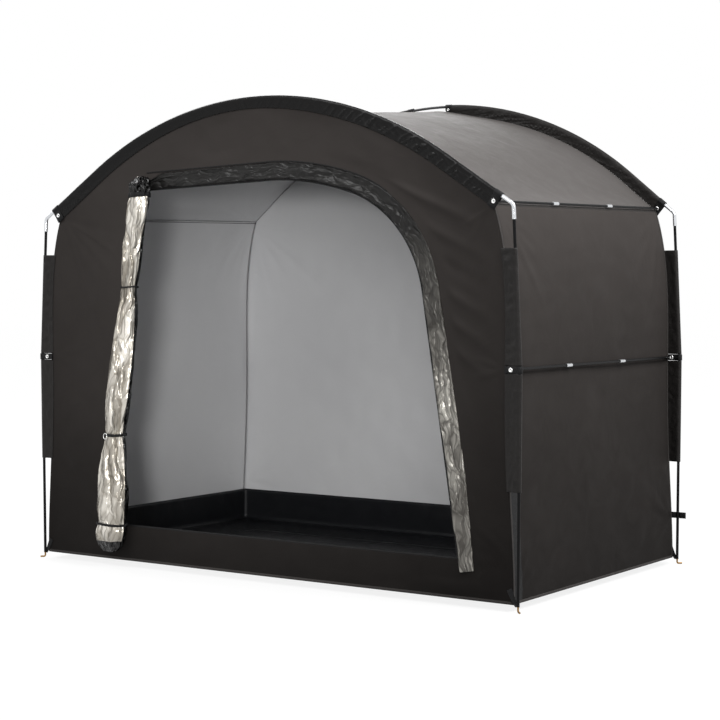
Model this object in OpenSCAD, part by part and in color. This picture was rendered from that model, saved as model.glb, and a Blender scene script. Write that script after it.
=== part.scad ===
// Bike storage tent: two arched pole frames, joined by struts along the sides,
// carry a fabric body with a rolled-up door at the front.
// +X is to the right as seen from the door, +Y to the back, +Z up.
// The origin is on the ground at the middle of the plan. All sizes are in millimetres.

/* [Frame] */
// Distance between the left and right foot pins
frame_w = 2006; // [1500:1:2600]
// Distance between the front and rear frames
frame_d = 1160; // [800:1:1800]
// Height of the front elbows' bend
bend_h = 1250; // [900:1:1600]
// How much higher the rear elbows stand
rear_bend_rise = 12; // [0:1:40]
// Height of the front arch's pole at its crown
crown_h = 1631; // [1400:1:2100]
// How much higher the rear arch's crown stands
rear_crown_rise = 66; // [0:1:120]
// Straight run from the front elbow's bend to where the arch starts to curve
front_straight = 297; // [150:1:350]
// The same run on the rear arch
rear_straight = 221; // [150:1:350]
// Height of the side struts at the waist
waist_h = 745; // [500:1:900]
// How far the leg stands outside its foot at the waist
leg_bow = 5; // [0:1:30]
// How far the elbow's bend stands inside the foot
leg_lean = 19; // [0:1:60]

/* [Poles] */
// Diameter of the arch and leg poles
pole_d = 10; // [8:0.5:16]
// Bore of the leg tube
leg_bore_d = 6.8; // [4:0.2:10]
// Diameter of the side struts
strut_d = 8.5; // [6:0.5:12]
// Wall of the steel elbows and ferrules
elbow_wall = 1.3; // [0.8:0.1:3]
// Bend radius of the elbows at the tube's centre
elbow_bend_r = 22; // [16:1:40]
// Length of the elbow's arm towards the leg
elbow_leg_arm = 46; // [35:1:90]
// Length of the elbow's arm towards the arch
elbow_arch_arm = 70; // [50:1:75]
// Length of the ferrules between strut sections
ferrule_len = 36; // [20:1:60]
// Diameter of the brass foot pin
pin_d = 6; // [4:0.2:9]
// Height of the leg's lower end over the ground
leg_bottom = 20; // [19:1:30]

/* [Fabric] */
// Thickness that stands for each fabric panel
fabric_t = 2.5; // [2:0.1:5]
// Height of the walls' hem over the ground
hem_h = 22; // [15:1:40]
// From the pole's centre in to the sleeve's seam
sleeve_w = 38; // [28:1:60]
// Wall of the pole sleeve around the pole
sleeve_wall = 1.7; // [1:0.1:4]
// Thickness of the sleeve's flat web
web_t = 3; // [2:0.1:5]
// How far a web, clip or strap laps over the wall it is sewn to
lap = 8; // [4:1:15]
// From the elbow's bend up the arch to the sleeve's end
sleeve_end = 75; // [72:1:110]
// Lower end of the leg sleeves
leg_sleeve_z0 = 370; // [200:1:450]
// From the elbow's bend down to the leg sleeve's upper end
leg_sleeve_drop = 133; // [60:1:250]
// Wall corner inside the foot pin at the hem
hem_inset = 18; // [10:1:40]
// Wall corner inside the leg at the sleeve's lower end
sleeve_bottom_inset = 35; // [25:1:60]
// Wall corner inside the leg at the waist
waist_inset = 45; // [35:1:60]
// Wall corner inside the leg at the sleeve's upper end
sleeve_top_inset = 44; // [35:1:60]
// Width of the bare gap in the rear sleeve at the crown
crown_gap = 170; // [80:1:260]
// Sideways place of that gap's middle
crown_gap_x = -45; // [-80:1:80]

/* [Groundsheet] */
// Width of the sheet's border that slopes up to the hem
border_w = 150; // [80:1:200]

/* [Clips] */
// Width of the shoulder clips along the pole
clip_w = 26; // [16:1:36]
// Thickness of the clips' tongue
clip_t = 6; // [3:0.5:8]
// Wall of a clip around its pole
clip_wall = 2.2; // [1.5:0.1:4]
// Height of the waist clips
waist_clip_h = 22; // [14:1:30]
// Diameter of the rivets
rivet_d = 13; // [8:0.5:16]
// Thickness of the rivets
rivet_t = 2.5; // [1.5:0.5:4]

/* [Door] */
// Height of the sill under the door
sill_h = 150; // [100:1:220]
// From the front arch's crown down to the door opening's highest point
door_drop = 275; // [180:1:400]
// Sideways place of that point
door_crown_x = 60; // [0:1:120]
// Fall of the top edge towards the left, in degrees
door_top_fall = 1.75; // [0:0.25:4]
// Left upper corner of the opening
door_left_x = -535; // [-700:1:-400]
// Lean of the left edge, in degrees
door_left_lean = 6.2; // [0:0.1:8]
// Radius of the long curve at the top
door_top_r = 1035; // [700:1:1300]
// How far that curve turns, in degrees
door_top_turn = 18; // [10:1:24]
// Radius of the right upper corner
door_corner_r = 403; // [250:1:450]
// Lean of the right edge, in degrees
door_right_lean = 9; // [0:0.1:12]
// Width of the zip tape
zip_w = 8; // [6:1:15]
// Width of the turned-back storm flap
flap_w = 58; // [30:1:80]
// Thickness of the storm flap
flap_t = 8; // [4:1:14]
// Left end of the storm flap
flap_start_x = -468; // [-480:1:-300]
// Lower end of the storm flap
flap_end_z = 106; // [60:1:150]
// Height of the ties round the rolled door
tie_h = 16; // [8:1:25]
// Thickness of the ties
tie_t = 2; // [1:0.5:4]
// How far a tie's tail reaches onto the wall
tie_tail = 25; // [10:1:60]
// Lower end of the rolled door
roll_bottom_z = 56; // [40:1:90]

/* [Tabs] */
// Height of the webbing tabs' middle on the rear legs
tab_z = 177; // [80:1:300]
// Width of the webbing
webbing_w = 22; // [15:1:30]
// How far a tab stands out past the leg
tab_out = 26; // [10:1:60]

/* [Hidden] */

round_fn = 48;
arch_fn = 360;
$fn = round_fn;

// Clearance between curved faces that lie in or on each other
fit = 0.3;
// Extra bore of a ring that spans a kink
slack = 0.5;
// Where a bent length runs on into a straight one, the straight one laps over it by joint_lap
// and is larger by joint_step all round
joint_lap = 1;
joint_step = 0.15;
// Clearance of the ties round the tapering door
tie_gap = 2.4;
// Points along each seam's arc, and the sides of the rolled door
arc_n = 28;
roll_n = 20;

foot_x = frame_w / 2;
waist_x = foot_x + leg_bow;
door_crown_z = crown_h - door_drop;
bend_x = foot_x - leg_lean;
frame_y = frame_d / 2;
pole_r = pole_d / 2;
strut_r = strut_d / 2;
pin_r = pin_d / 2;
elbow_ri = pole_r + fit;
elbow_ro = elbow_ri + elbow_wall;
sleeve_ro = pole_r + fit + sleeve_wall;
web_end = pole_r + fit + sleeve_wall / 2;
clip_ri = elbow_ro + fit;
clip_ro = clip_ri + clip_wall;
clip_reach = sleeve_w + lap + 4;
rivet_r = rivet_d / 2;

// Outer and inner faces of the front wall; the rear wall mirrors them
wall_out_y = frame_y - web_t / 2;
wall_in_y = wall_out_y - fabric_t;

// A frame is [height of its bends, height of its crown, straight run]
FRONT = [bend_h, crown_h, front_straight];
REAR = [bend_h + rear_bend_rise, crown_h + rear_crown_rise, rear_straight];

// The arch is a circle about the middle plane, touched by a straight line from each bend
function arch_r(e) = (bend_x * bend_x + pow(e[1] - e[0], 2) - e[2] * e[2]) / (2 * (e[1] - e[0]));
function arch_z(e) = e[1] - arch_r(e);
function arch_a(e) = atan2(bend_x, e[0] - arch_z(e)) - atan2(e[2], arch_r(e));
// Point on the arch at angle a from the crown, o outside the pole's centre
function on_arch(e, a, o) = [0, arch_z(e)] + (arch_r(e) + o) * [sin(a), cos(a)];
// Point on the straight run, l up from the bend and o outside the pole's centre
function on_run(e, l, o) = [bend_x, e[0]] + l * [-cos(arch_a(e)), sin(arch_a(e))]
    + o * [sin(arch_a(e)), cos(arch_a(e))];

function leg_x(e, z) = z < waist_h
    ? foot_x + leg_bow * z / waist_h
    : waist_x + (bend_x - waist_x) * (z - waist_h) / (e[0] - waist_h);
function leg_at(e, z) = [leg_x(e, z), z];

function sleeve_top(e) = e[0] - leg_sleeve_drop;

// Right edge of a wall from the hem up to the shoulder
clip_mid = sleeve_end - clip_w / 2;
function edge_points(e) = [
    [foot_x - hem_inset, hem_h],
    leg_at(e, leg_sleeve_z0) - [sleeve_bottom_inset, 0],
    leg_at(e, waist_h) - [waist_inset, 0],
    leg_at(e, sleeve_top(e)) - [sleeve_top_inset, 0],
    on_run(e, clip_mid, -sleeve_w)
];
function edge_x(e, z) = lookup(z, [for (p = edge_points(e)) [p[1], p[0]]]);
function flip(pts) = [for (k = [len(pts) - 1:-1:0]) [-pts[k][0], pts[k][1]]];
function back_to_front(pts) = [for (k = [len(pts) - 1:-1:0]) pts[k]];

// The seam that a wall, the roof and a sleeve share, from right to left, o outside it
function seam_points(e, o) = concat(
    [on_run(e, clip_mid, o - sleeve_w)],
    [for (k = [0:arc_n]) on_arch(e, arch_a(e) * (1 - 2 * k / arc_n), o - sleeve_w)],
    flip([on_run(e, clip_mid, o - sleeve_w)])
);
function wall_outline(e) = concat(
    [for (k = [0:3]) edge_points(e)[k]],
    seam_points(e, 0),
    flip([for (k = [0:3]) edge_points(e)[k]])
);

// Door: a long curve, a corner and a leaning edge that run into each other
top_centre = [door_crown_x, door_crown_z - door_top_r];
corner_centre = top_centre + (door_top_r - door_corner_r) * [sin(door_top_turn), cos(door_top_turn)];
function door_top_z(x, o) = door_crown_z + o - (door_crown_x - x) * tan(door_top_fall);
function door_path(o, x0, z1) =
    let (turn = 90 - door_right_lean,
         last = corner_centre + (door_corner_r + o) * [sin(turn), cos(turn)])
    concat(
        [[x0, door_top_z(x0, o)]],
        [for (a = [0:3:door_top_turn]) top_centre + (door_top_r + o) * [sin(a), cos(a)]],
        [for (k = [1:12]) let (a = door_top_turn + (turn - door_top_turn) * k / 12)
            corner_centre + (door_corner_r + o) * [sin(a), cos(a)]],
        [[last[0] + (last[1] - z1) * tan(door_right_lean), z1]]
    );
function door_left(z) = door_left_x - (door_top_z(door_left_x, 0) - z) * tan(door_left_lean);
function door_outline(o) = concat(
    [[door_left(sill_h - o), sill_h - o]],
    door_path(o, door_left_x, sill_h - o)
);
// Height at which the panels beside the door meet the panel over it
header_z = corner_centre[1] + door_corner_r * sin(45);

// Rolled door: [height, middle, half width, half depth]
roll_top_z = door_top_z(door_left_x, 0) + 34;
ROLL = [
    [roll_bottom_z, 18, 34, 20],
    [roll_bottom_z + 34, 22, 62, 30],
    [sill_h + 10, 26, 68, 34],
    [sill_h + 170, 20, 60, 36],
    [sill_h + 330, 8, 46, 32],
    [sill_h + 500, 10, 54, 35],
    [sill_h + 640, 20, 50, 34],
    [sill_h + 850, 19, 38, 29],
    [sill_h + 1060, 32, 43, 30],
    [roll_top_z - 44, 36, 47, 32],
    [roll_top_z, 34, 30, 20]
];
function roll_column(k) = [for (r = ROLL) [r[0], r[k]]];
function roll_x(z) = door_left(z) + lookup(z, roll_column(1));
function roll_w(z) = lookup(z, roll_column(2));
function roll_d(z) = lookup(z, roll_column(3));
function roll_y(z) = -wall_out_y - fit - tie_t - tie_gap - roll_d(z);
TIES = [sill_h + 4, sill_h + 325, sill_h + 850, roll_top_z - 50];

module place(side, back) {
    mirror([side < 0 ? 1 : 0, 0, 0]) mirror([0, back ? 1 : 0, 0]) children();
}

// Stands a flat outline up in the front wall's direction, between two depths
module upright(y0, y1) {
    translate([0, y1, 0]) rotate([90, 0, 0]) linear_extrude(y1 - y0) children();
}

// Working plane of the front frame: x to the right, y up, z out of the tent
module in_frame() {
    translate([0, -frame_y, 0]) rotate([90, 0, 0]) children();
}

// Carries an outline from p for l along direction a; the outline's x is the left-hand normal
module carry(p, a, l) {
    translate(p) rotate([0, 0, a + 90]) rotate([90, 0, 0]) linear_extrude(l) children();
}

module ring(ro, ri) {
    difference() {
        circle(ro);
        if (ri > 0) circle(ri);
    }
}

module tube(p, q, ro, ri) {
    d = q - p;
    carry(p, atan2(d[1], d[0]), norm(d)) ring(ro, ri);
}

// Round bar or tube between two points in space
module strut(p, q, ro, ri) {
    d = q - p;
    translate(p) rotate([0, acos(d[2] / norm(d)), atan2(d[1], d[0])])
        linear_extrude(norm(d)) ring(ro, ri);
}

// Sheet between two rows of points at the front and two at the rear
module sheet(front_out, front_in, rear_out, rear_in) {
    n = len(front_out);
    points = concat(
        [for (p = front_out) [p[0], -wall_in_y, p[1]]],
        [for (p = front_in) [p[0], -wall_in_y, p[1]]],
        [for (p = rear_out) [p[0], wall_in_y, p[1]]],
        [for (p = rear_in) [p[0], wall_in_y, p[1]]]
    );
    faces = concat(
        [for (k = [0:n - 2], s = [0, 1]) s == 0 ? [k, k + 1, 2 * n + k + 1] : [k, 2 * n + k + 1, 2 * n + k]],
        [for (k = [0:n - 2], s = [0, 1]) s == 0
            ? [n + k, 3 * n + k + 1, n + k + 1] : [n + k, 3 * n + k, 3 * n + k + 1]],
        [for (k = [0:n - 2], s = [0, 1]) s == 0 ? [k, n + k, n + k + 1] : [k, n + k + 1, k + 1]],
        [for (k = [0:n - 2], s = [0, 1]) s == 0
            ? [2 * n + k, 3 * n + k + 1, 3 * n + k] : [2 * n + k, 2 * n + k + 1, 3 * n + k + 1]],
        [[0, 2 * n, 3 * n], [0, 3 * n, n]],
        [[n - 1, 2 * n - 1, 4 * n - 1], [n - 1, 4 * n - 1, 3 * n - 1]]
    );
    polyhedron(points, faces);
}

// A curved pole section with a straight one plugged on at each end
module arch_pole(e, back) {
    color("dimgray") place(1, back) in_frame() {
        translate([0, arch_z(e), 0]) rotate([0, 0, 90 - arch_a(e)])
            rotate_extrude(angle = 2 * arch_a(e), $fn = arch_fn) translate([arch_r(e), 0])
                circle(pole_r, $fn = round_fn);
        for (m = [0, 1]) mirror([m, 0, 0])
            tube(on_run(e, e[2] - fit, 0), on_run(e, elbow_bend_r, 0), pole_r, 0);
    }
}

function leg_angle(e) = atan2(e[0] - waist_h, bend_x - waist_x);

// Two tube sections that meet inside the waist clip
module leg(e, side, back) {
    bend = [bend_x, e[0]];
    top = bend - elbow_bend_r * [cos(leg_angle(e)), sin(leg_angle(e))];
    color([0.1, 0.1, 0.11]) place(side, back) in_frame() {
        tube(leg_at(e, leg_bottom), leg_at(e, waist_h - fit), pole_r, leg_bore_d / 2);
        tube(leg_at(e, waist_h + fit), top, pole_r, leg_bore_d / 2);
    }
}

// The arms are a hair thicker than the bend and lap over its ends
module elbow(e, side, back) {
    a1 = leg_angle(e);
    a2 = 180 - arch_a(e);
    reach = elbow_bend_r * tan((a2 - a1) / 2);
    bend = [bend_x, e[0]];
    d1 = [cos(a1), sin(a1)];
    d2 = [cos(a2), sin(a2)];
    start = bend - reach * d1;
    color("silver") place(side, back) in_frame() {
        tube(bend - elbow_leg_arm * d1, start + joint_lap * d1, elbow_ro, elbow_ri);
        translate(start + elbow_bend_r * [-d1[1], d1[0]]) rotate([0, 0, a1 - 90])
            rotate_extrude(angle = a2 - a1) translate([elbow_bend_r, 0])
                ring(elbow_ro - joint_step, elbow_ri + joint_step);
        tube(bend + (reach - joint_lap) * d2, bend + elbow_arch_arm * d2, elbow_ro, elbow_ri);
    }
}

// Where a shoulder strut's end meets the clip's tongue, off the tongue by g
function tongue_mid(e) = on_run(e, clip_mid, -(clip_reach + clip_ro) / 2 + 2);
function shoulder_at(e, back, g) = let (p = tongue_mid(e), y = wall_out_y - g) [p[0], back ? y : -y, p[1]];
waist_strut_x = leg_x(FRONT, waist_h) - waist_inset + strut_r + fit + 2;

shoulder_from = shoulder_at(FRONT, false, rivet_t + fit);
shoulder_to = shoulder_at(REAR, true, rivet_t + fit);
waist_from = [waist_strut_x, -wall_out_y + fit, waist_h];
waist_to = [waist_strut_x, wall_out_y - fit, waist_h];

module side_strut(p, q, side) {
    color([0.1, 0.1, 0.11]) place(side, false) strut(p, q, strut_r, 0);
}

// Ferrules at the thirds of a pair of struts
module ferrules(p, q) {
    color("silver") for (side = [-1, 1], f = [1 / 3, 2 / 3]) place(side, false) {
        half = ferrule_len / 2 * (q - p) / norm(q - p);
        mid = p + f * (q - p);
        strut(mid - half, mid + half, strut_r + fit + elbow_wall, strut_r + fit);
    }
}

// Outline of a clip: a loop round the pole and a tongue down to the wall
module clip_outline(ro, ri, reach, t) {
    difference() {
        union() {
            circle(ro);
            translate([-reach, -web_t / 2]) square([reach - (ro + ri) / 2, t]);
        }
        circle(ri);
    }
}

module shoulder_clip(e, side, back) {
    color([0.06, 0.06, 0.06]) place(side, back) in_frame()
        translate(on_run(e, sleeve_end, 0)) rotate([0, 0, 90 - arch_a(e)]) rotate([90, 0, 0])
            linear_extrude(clip_w) clip_outline(clip_ro, clip_ri, clip_reach, clip_t);
}

module waist_clip(side, back) {
    x0 = edge_x(FRONT, waist_h) - lap;
    ri = pole_r + fit + slack;
    color([0.06, 0.06, 0.06]) place(side, back) translate([waist_x, -frame_y, waist_h - waist_clip_h / 2])
        mirror([0, 1, 0]) linear_extrude(waist_clip_h)
            clip_outline(ri + clip_wall, ri, waist_x - x0, clip_t);
}

function gap_edge(side) = crown_gap_x + side * crown_gap / 2;
function gap_angle(side) = asin(gap_edge(side) / arch_r(REAR));
crown_clip_w = clip_w - 10;
function crown_clip_angle(side) = gap_angle(side)
    - side * asin((crown_clip_w / 2 + fit) / (arch_r(REAR) - sleeve_w - lap));

module crown_clip(side) {
    a = crown_clip_angle(side);
    ri = pole_r + fit;
    color([0.06, 0.06, 0.06]) place(1, true) in_frame()
        translate(on_arch(REAR, a, 0)) rotate([0, 0, 90 - a]) rotate([90, 0, 0])
            linear_extrude(crown_clip_w, center = true)
                clip_outline(ri + clip_wall, ri, sleeve_w + lap, clip_t - 2);
}

// A rivet head on each face of a tongue of thickness t; p is its place in the frame's plane
module rivet(p, t) {
    for (z = [-web_t / 2 - rivet_t, t - web_t / 2]) translate([p[0], p[1], z])
        cylinder(h = rivet_t, r = rivet_r);
}

module clip_rivets() {
    color("gainsboro") {
        for (side = [-1, 1], back = [false, true]) place(side, back) in_frame() {
            rivet(tongue_mid(back ? REAR : FRONT), clip_t);
            translate([0, 0, clip_t - web_t / 2])
                translate([waist_strut_x + strut_r + rivet_r + 1, waist_h, 0])
                    cylinder(h = rivet_t, r = rivet_r);
            translate([0, 0, -web_t / 2 - rivet_t])
                translate([waist_strut_x + strut_r + rivet_r + 1, waist_h, 0])
                    cylinder(h = rivet_t, r = rivet_r);
        }
        for (side = [-1, 1]) place(1, true) in_frame()
            translate([0, 0, clip_t - 2 - web_t / 2])
                translate(on_arch(REAR, crown_clip_angle(side), -sleeve_w / 2 - 2))
                    cylinder(h = rivet_t, r = crown_clip_w / 2 - 1);
    }
}

// Brass pin up the leg's bore, its foot bent out along the ground
module foot_pin(side, back) {
    bend = 2 * pin_r;
    color("goldenrod") place(side, back)
        translate([leg_x(FRONT, leg_bottom), -frame_y, 0]) rotate([0, 0, -45]) {
            translate([0, 0, pin_r + bend]) cylinder(h = leg_bottom + 24, r = pin_r);
            translate([bend, 0, pin_r + bend]) rotate([90, 0, 0]) rotate([0, 0, 180])
                rotate_extrude(angle = 90) translate([bend, 0]) circle(pin_r);
            translate([bend, 0, pin_r]) rotate([0, 90, 0]) cylinder(h = 4 * pin_r, r = pin_r);
        }
}

// Webbing from the wall's lower corner to a loop round the foot pin
module corner_strap(side, back) {
    x1 = edge_x(FRONT, 3 * hem_h);
    loop_ro = pin_r + fit + 2.5;
    loop_z0 = 3 * pin_r + fit;
    loop_z1 = leg_bottom - 1;
    x2 = leg_x(FRONT, leg_bottom) - (loop_ro + pin_r) / 2;
    leg_side = leg_x(FRONT, leg_bottom) - pole_r - fit;
    color([0.07, 0.07, 0.07]) place(side, back) difference() {
        union() {
            upright(-wall_out_y - 2, -wall_out_y) polygon([
                [x1 - webbing_w, 3 * hem_h], [x1 - 1, 3 * hem_h], [leg_side, leg_bottom + pole_r],
                [leg_side, loop_z1], [x2, loop_z1], [x2, loop_z0],
                [x2 - 8, loop_z0], [x1 - webbing_w, 2 * hem_h]
            ]);
            translate([leg_x(FRONT, leg_bottom), -frame_y, loop_z0])
                cylinder(h = loop_z1 - loop_z0, r = loop_ro);
        }
        translate([leg_x(FRONT, leg_bottom), -frame_y, 0]) cylinder(h = leg_bottom, r = pin_r + fit);
    }
}

// Webbing round a rear leg with a free end
module leg_tab(side) {
    x0 = edge_x(REAR, tab_z) - lap;
    ri = pole_r + fit;
    px = leg_x(REAR, tab_z);
    color([0.07, 0.07, 0.07]) place(side, true) difference() {
        translate([px, -frame_y, tab_z - webbing_w / 2]) linear_extrude(webbing_w) union() {
            circle(ri + 2);
            translate([x0 - px, web_t / 2 - 2]) square([px - x0 + ri + tab_out, 2]);
        }
        translate([px, -frame_y, tab_z - webbing_w]) cylinder(h = 2 * webbing_w, r = ri);
    }
}

module fabric_colour(k) {
    color([0.2 + k, 0.19 + k, 0.19 + k]) children();
}

module door_hole(o) {
    polygon(door_outline(o));
}

// The part of the front wall between two heights and two sides, with the door cut out
module front_panel(x0, x1, z0, z1) {
    upright(-wall_out_y, -wall_in_y) difference() {
        intersection() {
            polygon(wall_outline(FRONT));
            translate([x0, z0]) square([x1 - x0, z1 - z0]);
        }
        door_hole(zip_w);
    }
}

sill_cut = sill_h - zip_w;

module front_wall_left() fabric_colour(0.02) front_panel(-frame_w, 0, sill_cut, header_z);
module front_wall_right() fabric_colour(0.02) front_panel(0, frame_w, sill_cut, header_z);
module front_wall_header() fabric_colour(0.04) front_panel(-frame_w, frame_w, header_z, 2 * crown_h);
module front_sill() fabric_colour(0) front_panel(-frame_w, frame_w, 0, sill_cut);

module rear_wall() {
    fabric_colour(0.02) upright(wall_in_y, wall_out_y) polygon(wall_outline(REAR));
}

// A side wall ends just under the roof's lower edge
function side_rows(e, dx) = let (p = edge_points(e), z = p[4][1] - fabric_t * cos(arch_a(e)) - fit)
    [for (k = [0:4]) k < 4 ? p[k] - [dx, 0] : [edge_x(e, z) - dx, z]];

module side_wall(side) {
    fabric_colour(0.1) place(side, false) sheet(
        side_rows(FRONT, 0), side_rows(FRONT, fabric_t),
        side_rows(REAR, 0), side_rows(REAR, fabric_t)
    );
}

module roof() {
    fabric_colour(0.3) sheet(
        seam_points(FRONT, 0), seam_points(FRONT, -fabric_t),
        seam_points(REAR, 0), seam_points(REAR, -fabric_t)
    );
}

// Block with sloping sides from half sizes a at z0 to half sizes b at z1
module frustum(z0, a, z1, b) {
    corners = [[-1, -1], [1, -1], [1, 1], [-1, 1]];
    points = concat(
        [for (c = corners) [c[0] * a[0], c[1] * a[1], z0]],
        [for (c = corners) [c[0] * b[0], c[1] * b[1], z1]]
    );
    polyhedron(points, [[0, 1, 2, 3], [7, 6, 5, 4], [0, 4, 5, 1], [1, 5, 6, 2], [2, 6, 7, 3], [3, 7, 4, 0]]);
}

// A tray: flat on the ground, its border sloping up to the hem, its rim standing inside the walls
module groundsheet() {
    half = [edge_x(FRONT, sill_h) - fabric_t - fit, wall_in_y - fit];
    border = [border_w, border_w];
    wall = [fabric_t, fabric_t];
    color([0.05, 0.05, 0.055]) difference() {
        union() {
            frustum(0, half - border, hem_h, half);
            frustum(hem_h, half, sill_h, half);
        }
        frustum(fabric_t, half - border, hem_h + fabric_t, half - wall);
        frustum(hem_h + fabric_t, half - wall, sill_h + 1, half - wall);
    }
}

// Outline of a pole sleeve, g slimmer: a tube round the pole and a web in to the seam
module sleeve_outline(g) {
    difference() {
        union() {
            circle(sleeve_ro - g, $fn = round_fn);
            translate([g - sleeve_w - lap, g - web_t / 2])
                square([sleeve_w + lap - web_end - g, web_t - 2 * g]);
        }
        circle(pole_r + fit + g / 3, $fn = round_fn);
    }
}

module sleeve_arc(e, a0, a1) {
    translate([0, arch_z(e), 0]) rotate([0, 0, 90 - a1])
        rotate_extrude(angle = a1 - a0, $fn = arch_fn) translate([arch_r(e), 0])
            sleeve_outline(joint_step);
}

module sleeve_run(e) {
    translate(on_run(e, e[2] + joint_lap, 0)) rotate([0, 0, 90 - arch_a(e)]) rotate([90, 0, 0])
        linear_extrude(e[2] + joint_lap - sleeve_end) sleeve_outline(0);
}

module front_arch_sleeve() {
    color([0.09, 0.09, 0.09]) in_frame() {
        sleeve_arc(FRONT, -arch_a(FRONT), arch_a(FRONT));
        for (m = [0, 1]) mirror([m, 0, 0]) sleeve_run(FRONT);
    }
}

module rear_arch_sleeve(side) {
    a = arch_a(REAR);
    color([0.09, 0.09, 0.09]) place(1, true) in_frame() {
        sleeve_arc(REAR, side > 0 ? gap_angle(1) : -a, side > 0 ? a : gap_angle(-1));
        mirror([side > 0 ? 0 : 1, 0, 0]) sleeve_run(REAR);
    }
}

// Leg sleeve in two lengths, with a gap for the waist clip
module leg_sleeve(e, side, back) {
    gap = waist_clip_h / 2 + 1;
    color([0.09, 0.09, 0.09]) place(side, back) in_frame()
        for (z = [[leg_sleeve_z0, waist_h - gap], [waist_h + gap, sleeve_top(e)]]) {
            tube(leg_at(e, z[0]), leg_at(e, z[1]), sleeve_ro, pole_r + fit);
            translate([0, 0, -web_t / 2]) linear_extrude(web_t) polygon([
                leg_at(e, z[0]) - [web_end, 0], leg_at(e, z[1]) - [web_end, 0],
                [edge_x(e, z[1]) - lap, z[1]], [edge_x(e, z[0]) - lap, z[0]]
            ]);
        }
}

// Zip tape along the top, the right edge and the sill
module door_zip() {
    color([0.03, 0.03, 0.03]) upright(-wall_out_y, -wall_in_y) difference() {
        door_hole(zip_w);
        polygon(concat([[door_left(0), 0], [door_left(sill_h), sill_h]], door_outline(0)));
    }
}

// Flap that is turned back off the zip
module door_flap() {
    inner = zip_w / 2;
    color([0.35, 0.34, 0.33]) upright(-wall_out_y - fit - flap_t, -wall_out_y - fit) polygon(concat(
        door_path(inner, flap_start_x, flap_end_z),
        back_to_front(door_path(inner + flap_w, flap_start_x, flap_end_z))
    ));
}

// The door, rolled up on its left edge
module rolled_door() {
    n = roll_n;
    m = len(ROLL);
    points = [for (r = ROLL, k = [0:n - 1]) let (z = r[0], a = 360 * k / n)
        [roll_x(z) + roll_w(z) * cos(a), roll_y(z) + roll_d(z) * sin(a), z]];
    faces = concat(
        [[for (k = [0:n - 1]) k]],
        [[for (k = [n - 1:-1:0]) (m - 1) * n + k]],
        [for (j = [0:m - 2], k = [0:n - 1], s = [0, 1]) let (b = j * n, q = (k + 1) % n)
            s == 0 ? [b + k, b + n + q, b + q] : [b + k, b + n + k, b + n + q]]
    );
    color([0.75, 0.72, 0.66]) polyhedron(points, faces);
}

// Each tie is a loop round the roll, on a flat tail that is sewn to the wall beside the doorway
module door_ties() {
    color([0.05, 0.05, 0.05]) for (z = TIES) {
        translate([roll_x(z), roll_y(z), z - tie_h / 2])
            linear_extrude(tie_h) difference() {
                scale([1, (roll_d(z) + tie_gap + tie_t) / (roll_w(z) + tie_gap + tie_t)])
                    circle(roll_w(z) + tie_gap + tie_t);
                scale([1, (roll_d(z) + tie_gap) / (roll_w(z) + tie_gap)])
                    circle(roll_w(z) + tie_gap);
            }
        translate([door_left(z) - tie_tail, -wall_out_y - fit - tie_t, z - tie_h / 2])
            cube([roll_x(z) - door_left(z) + tie_tail, tie_t, tie_h]);
    }
}

arch_pole(FRONT, false);  // front_arch_pole
arch_pole(REAR, true);  // rear_arch_pole
leg(FRONT, -1, false);  // front_left_leg
leg(FRONT, 1, false);  // front_right_leg
leg(REAR, -1, true);  // rear_left_leg
leg(REAR, 1, true);  // rear_right_leg
elbow(FRONT, -1, false);  // front_left_elbow
elbow(FRONT, 1, false);  // front_right_elbow
elbow(REAR, -1, true);  // rear_left_elbow
elbow(REAR, 1, true);  // rear_right_elbow
side_strut(shoulder_from, shoulder_to, -1);  // left_shoulder_strut
side_strut(shoulder_from, shoulder_to, 1);  // right_shoulder_strut
side_strut(waist_from, waist_to, -1);  // left_waist_strut
side_strut(waist_from, waist_to, 1);  // right_waist_strut
ferrules(shoulder_from, shoulder_to);  // shoulder_ferrules
ferrules(waist_from, waist_to);  // waist_ferrules
for (side = [-1, 1], back = [false, true]) shoulder_clip(back ? REAR : FRONT, side, back);  // shoulder_clips
for (side = [-1, 1], back = [false, true]) waist_clip(side, back);  // waist_clips
for (side = [-1, 1]) crown_clip(side);  // crown_clips
clip_rivets();
for (side = [-1, 1], back = [false, true]) foot_pin(side, back);  // foot_pins
for (side = [-1, 1], back = [false, true]) corner_strap(side, back);  // corner_straps
for (side = [-1, 1]) leg_tab(side);  // rear_leg_tabs
front_wall_left();
front_wall_right();
front_wall_header();
front_sill();
rear_wall();
side_wall(-1);  // left_wall
side_wall(1);  // right_wall
roof();
groundsheet();
front_arch_sleeve();
rear_arch_sleeve(-1);  // rear_arch_sleeve_left
rear_arch_sleeve(1);  // rear_arch_sleeve_right
leg_sleeve(FRONT, -1, false);  // front_left_leg_sleeve
leg_sleeve(FRONT, 1, false);  // front_right_leg_sleeve
leg_sleeve(REAR, -1, true);  // rear_left_leg_sleeve
leg_sleeve(REAR, 1, true);  // rear_right_leg_sleeve
door_zip();
door_flap();
rolled_door();
door_ties();
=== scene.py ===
# Looks of a bike storage tent: coated cloth on arched poles, with its door rolled up and tied.
import math

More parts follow.
